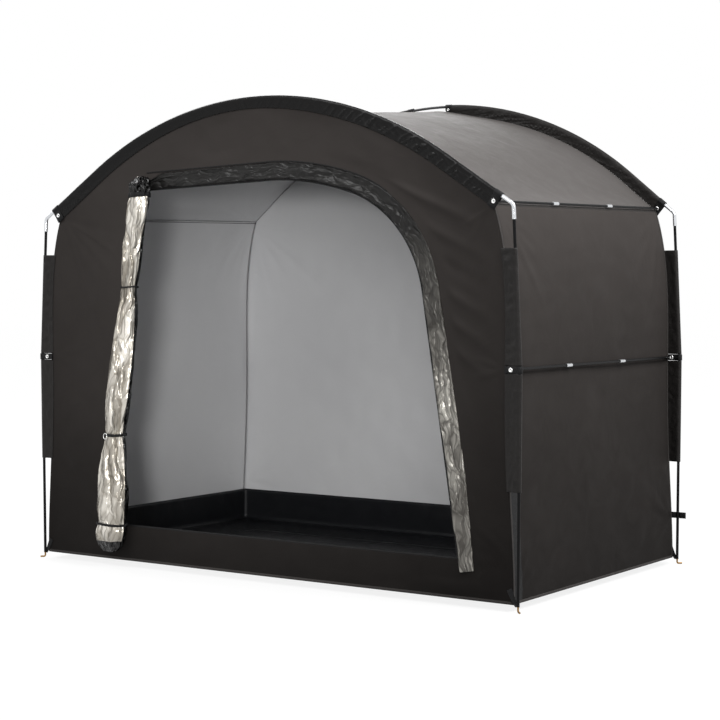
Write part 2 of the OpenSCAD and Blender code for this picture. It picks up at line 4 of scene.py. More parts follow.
import bpy
import numpy as np
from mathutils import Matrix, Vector


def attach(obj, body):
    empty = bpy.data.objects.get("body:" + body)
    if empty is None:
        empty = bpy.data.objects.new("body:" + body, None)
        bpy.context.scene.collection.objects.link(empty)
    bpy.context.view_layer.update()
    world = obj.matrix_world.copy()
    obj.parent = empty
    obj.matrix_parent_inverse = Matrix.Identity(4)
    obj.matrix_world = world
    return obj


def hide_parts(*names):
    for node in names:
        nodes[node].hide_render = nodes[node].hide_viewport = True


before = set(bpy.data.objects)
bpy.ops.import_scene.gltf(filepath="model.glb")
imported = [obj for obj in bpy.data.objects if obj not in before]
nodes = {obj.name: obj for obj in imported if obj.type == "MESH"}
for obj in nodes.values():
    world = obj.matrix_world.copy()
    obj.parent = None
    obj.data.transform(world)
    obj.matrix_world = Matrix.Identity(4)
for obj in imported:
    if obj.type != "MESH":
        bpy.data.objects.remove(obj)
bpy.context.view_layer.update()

print("frame loaded:", len(nodes), "nodes")

# camera, floor and light

cameraView = {"azimuth": 34.62, "elevation": 2.35, "roll": -0.07,
              "location": (3.6497, -5.2641, 0.9963), "lens": 88.05}


def makeCamera(look):
    # looks back along the direction given by azimuth and elevation
    azimuth, elevation = math.radians(look["azimuth"]), math.radians(look["elevation"])
    back = Vector((math.sin(azimuth) * math.cos(elevation),
                   -math.cos(azimuth) * math.cos(elevation), math.sin(elevation)))
    camera = bpy.data.objects.new("camera", bpy.data.cameras.new("camera"))
    camera.data.lens = look["lens"]
    camera.data.sensor_width = 36
    camera.data.clip_end = 100
    camera.location = look["location"]
    camera.rotation_euler = (-back).to_track_quat("-Z", "Y").to_euler()
    camera.rotation_euler.rotate_axis("Z", math.radians(look["roll"]))
    bpy.context.scene.collection.objects.link(camera)
    bpy.context.scene.camera = camera


def srgb(code):
    # hex colour to linear light
    c = np.array([int(code[i:i + 2], 16) for i in (1, 3, 5)]) / 255
    linear = np.where(c <= 0.04045, c / 12.92, ((c + 0.055) / 1.055) ** 2.4)
    return (*linear.tolist(), 1.0)


def addNode(tree, kind, inputs=None, **settings):
    # one shader node: settings are its properties, inputs are values or the sockets to link from
    node = tree.nodes.new("ShaderNode" + kind)
    for key, value in settings.items():
        setattr(node, key, value)
    for key, value in (inputs or {}).items():
        if isinstance(value, bpy.types.NodeSocket):
            tree.links.new(value, node.inputs[key])
        else:
            node.inputs[key].default_value = value
    return node


studio = {"floorSize": 60, "floorZ": -0.001, "floorColour": "#767676", "worldLight": 0.26,
          "glowNear": 0.85, "glowFar": 0.95, "glowFrom": 2.5, "glowTo": 7.0, "spotBlend": 0.6,
          "lamps": [  # name, place, aim, size, watts; a cone in degrees makes it a spot
              ("keyLamp", (-0.6, -3.2, 4.0), (0, -0.3, 1.2), 2.2, 80, 0),
              ("sideLamp", (2.9, -0.4, 3.2), (0.9, 0, 1.1), 1.6, 135, 0),
              ("leftLamp", (-3.4, 0.4, 3.4), (-0.9, 0, 1.0), 2.2, 80, 0),
              ("rearLamp", (-2.6, 3.8, 3.6), (0, 0, 1.0), 2.6, 110, 0),
              ("doorLamp", (3.0, -5.65, 1.12), (-0.08, -0.58, 0.68), 0.8, 900, 17)]}


def whiteRays(tree):
    # 1 for rays that see the studio itself: from the camera, a reflection or through glass
    path = addNode(tree, "LightPath")
    seen = path.outputs["Is Camera Ray"]
    for kind in ("Is Glossy Ray", "Is Transmission Ray"):
        seen = addNode(tree, "Math", {0: seen, 1: path.outputs[kind]}, operation="MAXIMUM").outputs[0]
    return seen


def emptyTree(owner):
    # the node tree of a material or world, cleared
    owner.use_nodes = True
    owner.node_tree.nodes.clear()
    return owner.node_tree


def makeStudio(look):
    # a pale floor that glows a little more with distance, a white world, and the lamps
    half, z = look["floorSize"] / 2, look["floorZ"]
    mesh = bpy.data.meshes.new("studioFloor")
    mesh.from_pydata([(-half, -half, z), (half, -half, z), (half, half, z), (-half, half, z)],
                     [], [(0, 1, 2, 3)])
    floor = bpy.data.objects.new("studioFloor", mesh)
    bpy.context.scene.collection.objects.link(floor)
    paint = bpy.data.materials.new("matt white studio floor")
    tree = emptyTree(paint)
    matt = addNode(tree, "BsdfDiffuse", {"Color": srgb(look["floorColour"])})
    seen = whiteRays(tree)
    place = addNode(tree, "TexCoord").outputs["Object"]
    away = addNode(tree, "VectorMath", {0: place}, operation="LENGTH").outputs["Value"]
    glowing = addNode(tree, "MapRange", {
        "Value": away, "From Min": look["glowFrom"], "From Max": look["glowTo"],
        "To Min": look["glowNear"], "To Max": look["glowFar"]})
    seen = addNode(tree, "Math", {0: seen, 1: glowing.outputs[0]}, operation="MULTIPLY")
    glow = addNode(tree, "Emission", {"Strength": seen.outputs[0]})
    both = addNode(tree, "AddShader", {0: matt.outputs[0], 1: glow.outputs[0]})
    addNode(tree, "OutputMaterial", {"Surface": both.outputs[0]})
    mesh.materials.append(paint)

    world = bpy.data.worlds.new("studio")
    bpy.context.scene.world = world
    tree = emptyTree(world)
    soft, white = (addNode(tree, "Background", {"Color": (1, 1, 1, 1), "Strength": strength})
                   for strength in (look["worldLight"], 1.0))
    both = addNode(tree, "MixShader", {0: whiteRays(tree), 1: soft.outputs[0], 2: white.outputs[0]})
    addNode(tree, "OutputWorld", {"Surface": both.outputs[0]})

    for name, place, aim, size, watts, cone in look["lamps"]:
        lamp = bpy.data.objects.new(name, bpy.data.lights.new(name, "SPOT" if cone else "AREA"))
        lamp.data.energy = watts
        if cone:
            lamp.data.spot_size, lamp.data.spot_blend = math.radians(cone), look["spotBlend"]
            lamp.data.shadow_soft_size = size / 2
        else:
            lamp.data.size = size
        lamp.location = place
        lamp.rotation_euler = (Vector(aim) - Vector(place)).to_track_quat("-Z", "Y").to_euler()
        bpy.context.scene.collection.objects.link(lamp)


makeCamera(cameraView)
makeStudio(studio)
bpy.context.scene.view_settings.view_transform = "Standard"
print("camera, floor and lamps made")

# materials


def newMaterial(name, look):
    # plain values go on the shader's own sockets; patterns are linked over them
    material = bpy.data.materials.new(name)
    material.use_nodes = True
    shader = material.node_tree.nodes["Principled BSDF"]
    values = {"Base Color": srgb(look["colour"]), "Roughness": look["roughness"],
              "Metallic": look.get("metallic", 0.0), "Specular IOR Level": look.get("specular", 0.5)}
    for socket, value in values.items():
        shader.inputs[socket].default_value = value
    return material, material.node_tree, shader


def tint(tree, shader, factor, dark, light):
    # base colour runs from dark to light with the factor
    mix = addNode(tree, "Mix", {0: factor, 6: srgb(dark), 7: srgb(light)}, data_type="RGBA")
    tree.links.new(mix.outputs[2], shader.inputs["Base Color"])
    return mix


def bumps(tree, shader, layers):
    # stacks bumps: each layer is (height socket, strength, distance in metres)
    normal = None
    for height, strength, distance in layers:
        inputs = {"Height": height, "Strength": strength, "Distance": distance}
        if normal is not None:
            inputs["Normal"] = normal
        normal = addNode(tree, "Bump", inputs).outputs[0]
    tree.links.new(normal, shader.inputs["Normal"])


def weaveHeight(tree, flat, period):
    # plain weave: the higher of threads along and threads across
    scale = 0.314 / period  # a wave texture's band is 0.314 / scale wide
    warp, weft = (addNode(tree, "TexWave", {"Vector": flat, "Scale": scale}, bands_direction=way)
                  for way in "XY")
    return addNode(tree, "Math", {0: warp.outputs["Fac"], 1: weft.outputs["Fac"]},
                   operation="MAXIMUM").outputs[0]


weave = {"blotch": 3.0, "crinkleDepth": 0.2, "creaseDepth": 0.05, "thread": 0.0022, "weaveDepth": 0.2,
         "uneven": 0.07, "paintedTopLightShare": 0.72}


def clothMaterial(name, look):
    # woven polyester: weave, soft crinkles from packing, faint blotches, slightly worn on folds
    look = {**weave, **look}
    material, tree, shader = newMaterial(name, look)
    flat = addNode(tree, "UVMap", uv_map="flat").outputs[0]
    tone = addNode(tree, "TexNoise", {"Vector": flat, "Scale": look["blotch"], "Detail": 5.0,
                                      "Roughness": 0.55}).outputs["Fac"]
    if "paintedTopLight" in look:  # painted light: paler towards the top and darker towards the hem, as light from above falls
        place = addNode(tree, "TexCoord").outputs["Object"]
        height = addNode(tree, "SeparateXYZ", {0: place}).outputs["Z"]
        low, high = look["paintedTopLight"]
        rise = addNode(tree, "MapRange", {"Value": height, "From Min": low, "From Max": high})
        tone = addNode(tree, "Mix", {0: look["paintedTopLightShare"], 2: tone, 3: rise.outputs[0]}).outputs[0]
    tint(tree, shader, tone, look["dark"], look["light"])
    crinkle = addNode(tree, "TexNoise", {"Vector": flat, "Scale": look["crinkle"], "Detail": 4.0,
                                         "Roughness": 0.6, "Distortion": 1.1})
    crease = addNode(tree, "TexVoronoi", {"Vector": flat, "Scale": look["crease"]},
                     feature="DISTANCE_TO_EDGE")
    sharp = addNode(tree, "MapRange", {"Value": crease.outputs["Distance"], "From Max": 0.12})
    rough = addNode(tree, "MapRange", {
        "Value": crinkle.outputs["Fac"], "From Min": 0.3, "From Max": 0.7,
        "To Min": look["roughness"] - look["uneven"], "To Max": look["roughness"] + look["uneven"]})
    tree.links.new(rough.outputs[0], shader.inputs["Roughness"])
    bumps(tree, shader, [(sharp.outputs[0], look["creaseDepth"], 0.002),
                         (crinkle.outputs["Fac"], look["crinkleDepth"], 0.006),
                         (weaveHeight(tree, flat, look["thread"]), look["weaveDepth"], 0.0004)])
    return material


facets = {"drift": 14.0, "driftBy": 0.05, "turn": 0.32, "longer": 0.24, "finer": 2.4, "finerSlope": 0.55,
          "finerShare": 0.4, "paintedCreaseShadeWidth": 0.10, "thread": 0.0018, "weaveDepth": 0.1}


def foilMaterial(name, look):
    # silver-coated cloth crumpled by handling: flat facets between sharp creases, at two sizes; its colour
    # holds painted shade darkening each crease and a painted glint tone that changes facet by facet
    look = {**facets, **look}
    material, tree, shader = newMaterial(name, look)
    flat = addNode(tree, "UVMap", uv_map="flat").outputs[0]
    drift = addNode(tree, "TexNoise", {"Vector": flat, "Scale": look["drift"], "Detail": 2.0})
    bent = addNode(tree, "VectorMath", {0: drift.outputs["Color"], 1: (look["driftBy"],) * 2 + (0.0,)},
                   operation="MULTIPLY")
    moved = addNode(tree, "VectorMath", {0: flat, 1: bent.outputs[0]}).outputs[0]
    stretched = addNode(tree, "Mapping", {"Vector": moved, "Rotation": (0, 0, look["turn"]),
                                          "Scale": (look["longer"], 1.0, 1.0)}).outputs[0]
    layers, paintedFacetGlints, paintedCreaseShade = [], [], []
    for scale, slope in ((look["facets"], look["slope"]),
                         (look["facets"] * look["finer"], look["slope"] * look["finerSlope"])):
        where = {"Vector": stretched, "Scale": scale}
        edge = addNode(tree, "TexVoronoi", where, feature="DISTANCE_TO_EDGE").outputs["Distance"]
        cell = addNode(tree, "TexVoronoi", where).outputs["Color"]
        layers.append((edge, 1.0, slope / scale))
        # painted shade: the colour darkens along each crease; each facet gets a painted glint tone
        paintedCreaseShade.append(addNode(tree, "MapRange", {"Value": edge, "From Max": look["paintedCreaseShadeWidth"],
                                                "To Min": look["crease"]}).outputs[0])
        paintedFacetGlints.append(addNode(tree, "SeparateColor", {0: cell}).outputs[0])
    layers.append((weaveHeight(tree, flat, look["thread"]), look["weaveDepth"], 0.0004))
    tone = addNode(tree, "Mix", {0: look["finerShare"], 2: paintedFacetGlints[0], 3: paintedFacetGlints[1]}).outputs[0]
    both = addNode(tree, "Math", {0: paintedCreaseShade[0], 1: paintedCreaseShade[1]}, operation="MULTIPLY").outputs[0]
    tone = addNode(tree, "Math", {0: tone, 1: both}, operation="MULTIPLY").outputs[0]
    shade = tint(tree, shader, tone, look["dark"], look["colour"])
    if "paintedShadeSpan" in look:  # painted shade: a dark colour first, then the silver, along the strip, and less metal where dark
        along = addNode(tree, "SeparateXYZ", {0: moved}).outputs["X"]
        begin, end = look["paintedShadeSpan"]
        span = {"Value": along, "From Min": begin, "From Max": end}
        silver = addNode(tree, "MapRange", span).outputs[0]
        # plain is the colour of the painted shade
        mix = addNode(tree, "Mix", {0: silver, 6: srgb(look["plain"]), 7: shade.outputs[2]},
                      data_type="RGBA")
        tree.links.new(mix.outputs[2], shader.inputs["Base Color"])
        metal = addNode(tree, "Math", {0: silver, 1: look["metallic"]}, operation="MULTIPLY")
        tree.links.new(metal.outputs[0], shader.inputs["Metallic"])
    bumps(tree, shader, layers)
    return material


# Silver-coated cloth, its coating turned outwards on the rolled door: warm, bright, hard-creased, with
# painted shade along the creases and painted glints facet by facet.
foilCloth = foilMaterial("silver coating, creased", {
    "colour": "#fffaf0", "dark": "#7c7467", "roughness": 0.27, "metallic": 0.55, "facets": 20.0,
    "slope": 0.68, "crease": 0.54})
# Black coated cloth at the roll's two ends, crushed the same way, with the same painted crease shade and
# facet glints.
capCloth = foilMaterial("black coated cloth, creased", {
    "colour": "#0d0c0c", "dark": "#020202", "roughness": 0.15, "specular": 0.3, "facets": 40.0,
    "slope": 1.1, "crease": 0.5})
# The strip along the zip: silver cloth with painted shade, dark along the top and silver down the right.
flapCloth = foilMaterial("flap cloth, silver, painted dark along the top", {
    "colour": "#b9b6ae", "dark": "#4a4743", "plain": "#191817", "paintedShadeSpan": (1.15, 1.72),
    "roughness": 0.28, "metallic": 0.5, "specular": 0.22, "facets": 30.0, "slope": 0.6, "crease": 0.32})
# Coated woven polyester, 210 denier: close-woven, dull, a little lighter where light grazes it; its colour
# holds painted light, paler towards the top.
# Threads are 0.4 mm apart; the weave is drawn at 2.2 mm so that it shows.
shellCloth = clothMaterial("coated woven polyester, dark grey", {
    "colour": "#322e2c", "dark": "#1a1817", "light": "#44403e", "roughness": 0.7, "specular": 0.06,
    "paintedTopLight": (0.05, 1.35), "crinkle": 9.0, "crinkleDepth": 0.22, "crease": 6.0, "weaveDepth": 0.25})
# The same cloth on the roof: flatter, with fine packing creases; painted lighter than the walls, standing
# in for the light from above.
roofClothPaintedLight = clothMaterial("coated woven polyester, roof, painted lighter", {
    "colour": "#514e4c", "dark": "#4e4b49", "light": "#545150", "roughness": 0.66, "specular": 0.14,
    "crinkle": 13.0, "crinkleDepth": 0.10, "crease": 9.0, "creaseDepth": 0.04})
# Aluminium-pigment coating knifed onto the inside: pale grey, half dull.
liningCloth = clothMaterial("silver polyurethane coating", {
    "colour": "#cfcfd0", "dark": "#c8c8ca", "light": "#d5d5d5", "roughness": 0.55, "metallic": 0.1,
    "blotch": 2.0, "crinkle": 8.0, "crease": 6.0})
# Uncoated black satin polyester for the pole sleeves: a soft shine along its gathers.
sleeveCloth = clothMaterial("black satin polyester", {
    "colour": "#0b0b0b", "dark": "#090808", "light": "#0e0d0d", "roughness": 0.26, "specular": 0.17,
    "blotch": 6.0, "crinkle": 24.0, "crinkleDepth": 0.15, "crease": 18.0, "thread": 0.0018,
    "weaveDepth": 0.1})
# Plain-woven polyester on the legs and at the back, the same black without the shine.
legCloth = clothMaterial("black polyester, dull", {
    "colour": "#211f1e", "dark": "#1c1a19", "light": "#262423", "roughness": 0.5, "specular": 0.2,
    "blotch": 6.0, "crinkle": 26.0, "crinkleDepth": 0.5, "crease": 14.0, "creaseDepth": 0.15,
    "thread": 0.0018})
# Woven polyethylene tarpaulin: black, waxy, with a visible flat-tape weave (tapes 2.5 mm wide).
tarpCloth = clothMaterial("woven polyethylene groundsheet", {
    "colour": "#121315", "dark": "#0f1012", "light": "#17181b", "roughness": 0.42, "specular": 0.25,
    "blotch": 4.0, "crinkle": 10.0, "crinkleDepth": 0.35, "crease": 5.0, "creaseDepth": 0.2,
    "thread": 0.005, "weaveDepth": 0.4})
# Polypropylene webbing: dull black, ribs 2 mm apart.
webbing = clothMaterial("polypropylene webbing", {
    "colour": "#111112", "dark": "#0d0d0e", "light": "#171718", "roughness": 0.6, "specular": 0.2,
    "blotch": 20.0, "crinkle": 60.0, "crease": 40.0, "thread": 0.002, "weaveDepth": 0.9})
# Folded polyester binding, a shade lighter than the shell.
bindingTape = clothMaterial("polyester binding tape", {
    "colour": "#3a3735", "dark": "#343130", "light": "#403d3b", "roughness": 0.6, "specular": 0.2,
    "blotch": 15.0, "crinkle": 50.0, "crease": 40.0, "thread": 0.0015, "weaveDepth": 0.4})


def metalMaterial(name, look):
    # drawn or coated tube: fine noise in roughness and height, grain in marks per metre
    material, tree, shader = newMaterial(name, look)
    place = addNode(tree, "TexCoord").outputs["Object"]
    stretched = addNode(tree, "Mapping", {"Vector": place, "Scale": (1.0, 1.0, 0.35)})
    noise = addNode(tree, "TexNoise", {"Vector": stretched.outputs[0], "Scale": look["grain"],
                                       "Detail": 6.0}).outputs["Fac"]
    rough = addNode(tree, "MapRange", {"Value": noise, "To Min": look["roughness"] - 0.08,
                                       "To Max": look["roughness"] + 0.1})
    tree.links.new(rough.outputs[0], shader.inputs["Roughness"])
    bumps(tree, shader, [(noise, look["depth"], 0.0004)])
    return material


# Tubes and fittings: steel under paint or plating, with the fine marks of drawing and plating.
blackCoat = metalMaterial("black powder coat on steel tube", {
    "colour": "#0b0b0c", "roughness": 0.42, "specular": 0.12, "grain": 900, "depth": 0.35})
greyCoat = metalMaterial("dark grey lacquered tube", {
    "colour": "#3a3a3c", "roughness": 0.38, "metallic": 0.2, "grain": 700, "depth": 0.2})
brightTube = metalMaterial("zinc-plated steel tube", {
    "colour": "#d3d5d8", "roughness": 0.27, "metallic": 1.0, "grain": 260, "depth": 0.15})
rivetMetal = metalMaterial("nickel-plated rivet", {
    "colour": "#e3e3e2", "roughness": 0.2, "metallic": 1.0, "grain": 400, "depth": 0.1})
brassPin = metalMaterial("yellow-passivated steel pin", {
    "colour": "#8c6a38", "roughness": 0.36, "metallic": 0.9, "grain": 350, "depth": 0.3})
# Nylon coil zip: black coils on woven tape.
zipNylon = metalMaterial("nylon zip coil", {
    "colour": "#101011", "roughness": 0.38, "specular": 0.25, "grain": 500, "depth": 0.2})
print("materials made")

# surfaces


def stacked(*values):
    # coordinates side by side along a new last axis, numbers spread out to arrays
    return np.stack(np.broadcast_arrays(*values), -1)


def unit(vectors):
    # vectors divided by their length
    return vectors / np.maximum(np.linalg.norm(vectors, axis=-1, keepdims=True), 1e-12)


def runLength(points):
    # length along a line of points, 0 at the first
    return np.concatenate([[0], np.cumsum(np.linalg.norm(np.diff(points, axis=0), axis=1))])


def readAt(points, along, at):
    # a line of points read off at given lengths, each coordinate by itself
    return np.stack([np.interp(at, along, column) for column in points.T], 1)


def smooth(t):
    # 0 below 0, 1 above 1, and the cubic 3t^2 - 2t^3 between
    t = np.clip(t, 0, 1)
    return t * t * (3 - 2 * t)


def gridNormals(grid, wrap):
    # cross product of the two directions along the grid
    du = np.roll(grid, -1, 0) - np.roll(grid, 1, 0) if wrap else np.gradient(grid, axis=0)
    return unit(np.cross(du, np.gradient(grid, axis=1)))


def quadGrid(n, m, wrap):
    # four corners of each cell of an n by m grid; wrap joins the last row to the first
    i, j = np.meshgrid(np.arange(n if wrap else n - 1), np.arange(m - 1), indexing="ij")
    i, j, k = i.ravel(), j.ravel(), ((i + 1) % n).ravel()
    return np.stack([i * m + j, k * m + j, k * m + j + 1, i * m + j + 1], 1)


def clothPart(grid, uv, thick, side=1, wrap=False, inner=1):
    # a sheet with thickness: the grid, the same grid moved in along its normals, and a rim all round
    n, m = grid.shape[:2]
    inside = grid - gridNormals(grid, wrap) * side * thick
    faces = quadGrid(n, m, wrap)
    size = n * m
    rows, columns = np.arange(m - 1), np.arange(n if wrap else n - 1)
    following = (columns + 1) % n
    rims = [np.stack([following * m, columns * m, columns * m + size, following * m + size], 1),
            np.stack([columns * m, following * m, following * m + size, columns * m + size], 1) + (m - 1)]
    if not wrap:
        last = (n - 1) * m
        rims += [np.stack([rows, rows + 1, rows + 1 + size, rows + size], 1),
                 np.stack([rows + 1, rows, rows + size, rows + 1 + size], 1) + last]
    rim = np.concatenate(rims)
    every = np.concatenate([faces, faces[:, [0, 3, 2, 1]] + size, rim])  # the same diagonals on both
    material = np.concatenate([np.zeros(len(faces)), np.full(len(faces), inner), np.zeros(len(rim))])
    points = np.concatenate([grid.reshape(-1, 3), inside.reshape(-1, 3)])
    flat = np.concatenate([uv.reshape(-1, 2)] * 2)
    return points, every if side > 0 else every[:, ::-1], flat, material


def tubeFaces(rings, count, flip):
    # quads round a tube of rings, and its two ends closed by quads that share a point
    i, j = np.meshgrid(np.arange(rings - 1), np.arange(count), indexing="ij")
    i, j, k = i.ravel() * count, j.ravel(), ((j + 1) % count).ravel()
    sides = np.stack([i + j, i + k, i + count + k, i + count + j], 1)
    near = np.array([[0, k, k + 1, k + 2] for k in range(1, count - 2, 2)])
    far, top = count - 1 - near, (rings - 1) * count
    return np.concatenate([sides[:, ::-1], near, far + top] if flip else [sides, far, near + top])


def sweepPart(path, across, section, material=0):
    # carries a closed outline (across, out) along a path; out is tangent x across
    tangent = unit(np.gradient(path, axis=0))
    across = np.broadcast_to(across, path.shape)
    across = unit(across - tangent * (across * tangent).sum(1, keepdims=True))
    out = np.cross(tangent, across)
    grid = (path[:, None] + across[:, None] * section[None, :, 0, None]
            + out[:, None] * section[None, :, 1, None])
    faces = tubeFaces(len(path), len(section), True)
    uv = stacked(runLength(path)[:, None], runLength(section)[None])
    return grid.reshape(-1, 3), faces, uv.reshape(-1, 2), np.full(len(faces), material)


def taperPart(path, across, section, sizes, material=0):
    # a swept piece whose outline is scaled by sizes along the path
    part = sweepPart(path, across, section, material)
    rings = part[0].reshape(len(path), len(section), 3)
    rings[:] = path[:, None] + (rings - path[:, None]) * sizes[:, None, None]
    return part


def strapSection(width, thick):
    # flat strap with eased edges
    w, t = width / 2, thick / 2
    e = min(t * 0.6, w * 0.3)
    return np.array([(w - e, -t), (w, -t + e), (w, t - e), (w - e, t), (e - w, t), (-w, t - e),
                     (-w, e - t), (e - w, -t)])


def roundSection(radius, count):
    # points evenly round a circle
    a = np.arange(count) * 2 * np.pi / count
    return np.stack([np.cos(a), np.sin(a)], 1) * radius


def lathePart(centre, axis, profile, material=0, count=28):
    # turns a profile of (radius, height) about an axis through centre
    axis = unit(np.array(axis, float))
    first = unit(np.cross(axis, (0.0, 0.0, 1.0) if abs(axis[2]) < 0.9 else (1.0, 0.0, 0.0)))
    a = np.arange(count) * 2 * np.pi / count
    ring = np.cos(a)[:, None] * first + np.sin(a)[:, None] * np.cross(axis, first)
    profile = np.array(profile)
    grid = centre + profile[:, 0, None, None] * ring[None] + profile[:, 1, None, None] * axis
    faces = tubeFaces(len(profile), count, False)
    uv = stacked(a[None] * profile[:, 0, None], profile[:, 1, None])
    return grid.reshape(-1, 3), faces, uv.reshape(-1, 2), np.full(len(faces), material)


def makePiece(name, parts, materials, replaced=()):
    # one object from several parts, each (points, quads, uv, material index)
    offsets = np.cumsum([0] + [len(p[0]) for p in parts])
    points, uv, index = (np.concatenate([p[k] for p in parts]) for k in (0, 2, 3))
    faces = np.concatenate([p[1] + offset for p, offset in zip(parts, offsets)])
    mesh = bpy.data.meshes.new(name)
    mesh.from_pydata(points.tolist(), [], faces.tolist())
    loops = np.empty(len(mesh.loops), np.int32)
    mesh.loops.foreach_get("vertex_index", loops)
    layer = mesh.uv_layers.new(name="flat")
    layer.data.foreach_set("uv", uv[loops].astype(np.float32).ravel())
    for material in materials:
        mesh.materials.append(material)
    mesh.polygons.foreach_set("material_index", index.astype(np.int32))
    mesh.polygons.foreach_set("use_smooth", np.ones(len(faces), bool))
    piece = bpy.data.objects.new(name, mesh)
    bpy.context.scene.collection.objects.link(piece)
    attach(piece, "root")
    if replaced:
        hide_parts(*replaced)
    print("  piece", name, 2 * len(faces), "triangles")
    return piece


def waves(x, z, seed, length, count=7):
    # sum of sines of about that wavelength in seeded directions, roughly from -1 to 1
    r = np.random.default_rng(int(seed))
    total = 0
    for turn, phase, gain in zip(r.uniform(0, np.pi, count), r.uniform(0, 2 * np.pi, count),
                                 r.uniform(0.6, 1.5, count)):
        total = total + np.sin((x * np.cos(turn) + z * np.sin(turn)) * 2 * np.pi * gain / length + phase)
    return total / math.sqrt(count) / 1.4


def creases(x, z, rows):
    # each row is a soft ridge from one point to another: height * exp(-(distance / width)^2), fading out
    total = np.zeros(np.broadcast(x, z).shape)
    for x0, z0, x1, z1, width, height in rows:
        dx, dz = x1 - x0, z1 - z0
        long = math.hypot(dx, dz)
        along = ((x - x0) * dx + (z - z0) * dz) / long / long
        off = ((x - x0) * dz - (z - z0) * dx) / long
        spread = width * (0.55 + 0.9 * np.clip(along, 0, 1))
        total += height * np.exp(-(off / spread) ** 2) * smooth(along / 0.12) * smooth((1 - along) / 0.5)
    return total


def crumple(x, z, seed, count, box, long, width, height, lean):
    # sharp-crested folds at random places in a box; lean is (mean, spread) in degrees from the x direction
    r = np.random.default_rng(seed)
    total = np.zeros(np.broadcast(x, z).shape)
    for _ in range(count):
        dx, dz = x - r.uniform(box[0], box[1]), z - r.uniform(box[2], box[3])
        a = math.radians(lean[0] + lean[1] * r.uniform(-1, 1))
        l, w = long * r.uniform(0.5, 1.3), width * r.uniform(0.6, 1.5)
        along = (dx * math.cos(a) + dz * math.sin(a)) / l
        off = dz * math.cos(a) - dx * math.sin(a) + r.uniform(-0.15, 0.15) * l * along ** 2
        total += height * r.uniform(-0.8, 1) * np.exp(-np.abs(off) / w) * np.clip(1 - along ** 2, 0, 1)
    return total


def fan(x0, z0, middle, spread, count, long, width, height, seed):
    # creases that radiate from a point, angles in degrees from +x towards +z
    r = np.random.default_rng(seed)
    angles = np.radians(middle + np.linspace(-spread, spread, count) + r.uniform(-4, 4, count))
    lengths = long * r.uniform(0.55, 1.1, count)
    heights = height * r.uniform(0.5, 1.1, count) * np.where(np.arange(count) % 2, 1, -0.6)
    return [(x0, z0, x0 + l * math.cos(a), z0 + l * math.sin(a), width * w, h)
            for a, l, h, w in zip(angles, lengths, heights, r.uniform(0.7, 1.3, count))]


# the frame's shape, as in the part's source, in metres

tent = {"footX": 1.003, "bendX": 0.984, "frameY": 0.580, "waistZ": 0.745, "bow": 0.005, "hemZ": 0.022,
        "sillZ": 0.150, "seamIn": 0.038, "lap": 0.008, "wallY": 0.5785, "wallInY": 0.5778, "clipAt": 0.062,
        "sleeveEnd": 0.075, "sleeveZ": 0.370, "sleeveDrop": 0.133, "insets": (0.018, 0.035, 0.045, 0.044)}
ends = {"front": {"bendZ": 1.250, "crownZ": 1.631, "straight": 0.297, "back": -1,
                  "drawnUp": (0.015, -0.15, 0.45)},
        "rear": {"bendZ": 1.262, "crownZ": 1.697, "straight": 0.221, "back": 1,
                 "drawnUp": (0.024, -0.045, 0.15)}}  # height, place and spread of the seam's rise, metres


def archShape(end):
    # circle about the middle plane, touched by a straight run from each bend
    rise = end["crownZ"] - end["bendZ"]
    radius = (tent["bendX"] ** 2 + rise ** 2 - end["straight"] ** 2) / (2 * rise)
    centreZ = end["crownZ"] - radius
    turn = math.atan2(tent["bendX"], end["bendZ"] - centreZ) - math.atan2(end["straight"], radius)
    return {**end, "radius": radius, "centreZ": centreZ, "turn": turn}


front, rear = archShape(ends["front"]), archShape(ends["rear"])


def onArch(e, t, o):
    # t is the length along the pole from the crown, o is how far outside the pole's centre
    r, turn = e["radius"], e["turn"]
    a = np.clip(np.abs(t) / r, 0, turn)
    run = np.maximum(np.abs(t) - r * turn, 0)
    sign = np.where(t < 0, -1.0, 1.0)
    x = (r + o) * np.sin(a) + run * math.cos(turn)
    z = e["centreZ"] + (r + o) * np.cos(a) - run * math.sin(turn)
    return sign * x, z


def alongArch(e, x):
    # length along the pole from the crown to x, on the round part
    return e["radius"] * math.asin(x / e["radius"])


def archEnd(e, fromBend):
    # length along the pole from the crown to a point short of the bend
    return e["radius"] * e["turn"] + e["straight"] - fromBend


def legX(e, z):
    # the leg's middle: straight from foot to waist and from waist to bend
    return np.interp(z, [0, tent["waistZ"], e["bendZ"]],
                     [tent["footX"], tent["footX"] + tent["bow"], tent["bendX"]])


def edgeCurve(e):
    # smooth curve through the wall corner's five set points
    top = e["bendZ"] - tent["sleeveDrop"]
    a, b, c, d = tent["insets"]
    sx, sz = onArch(e, np.array(archEnd(e, tent["clipAt"])), -tent["seamIn"])
    zs = [tent["hemZ"], tent["sleeveZ"], tent["waistZ"], top, float(sz)]
    xs = [tent["footX"] - a, legX(e, zs[1]) - b, legX(e, zs[2]) - c, legX(e, top) - d, float(sx)]
    return np.polyfit(zs, xs, 4), float(sz)


frontEdge, frontShoulder = edgeCurve(front)
rearEdge, rearShoulder = edgeCurve(rear)


def seamOffset(e, t):
    # the cloth's edge runs inside the pole, drawn up by a bell curve near the crown
    height, place, spread = e["drawnUp"]
    return height * np.exp(-((t - place) / spread) ** 2) - tent["seamIn"]


def seam(e, s):
    # s runs from -1 at the left shoulder to 1 at the right
    t = s * archEnd(e, tent["clipAt"])
    return onArch(e, t, seamOffset(e, t))


# walls and roof

shell = {"thick": 0.0012, "calm": 0.05}  # the cloth lies still within calm of its seams
door = {"dropped": 0.275, "crownX": 0.060, "fall": 1.75, "leftX": -0.535, "leftLean": 6.2,
        "topR": 1.035, "topTurn": 18.0, "cornerR": 0.403, "rightLean": 9.0}
doorCrown = front["crownZ"] - door["dropped"]


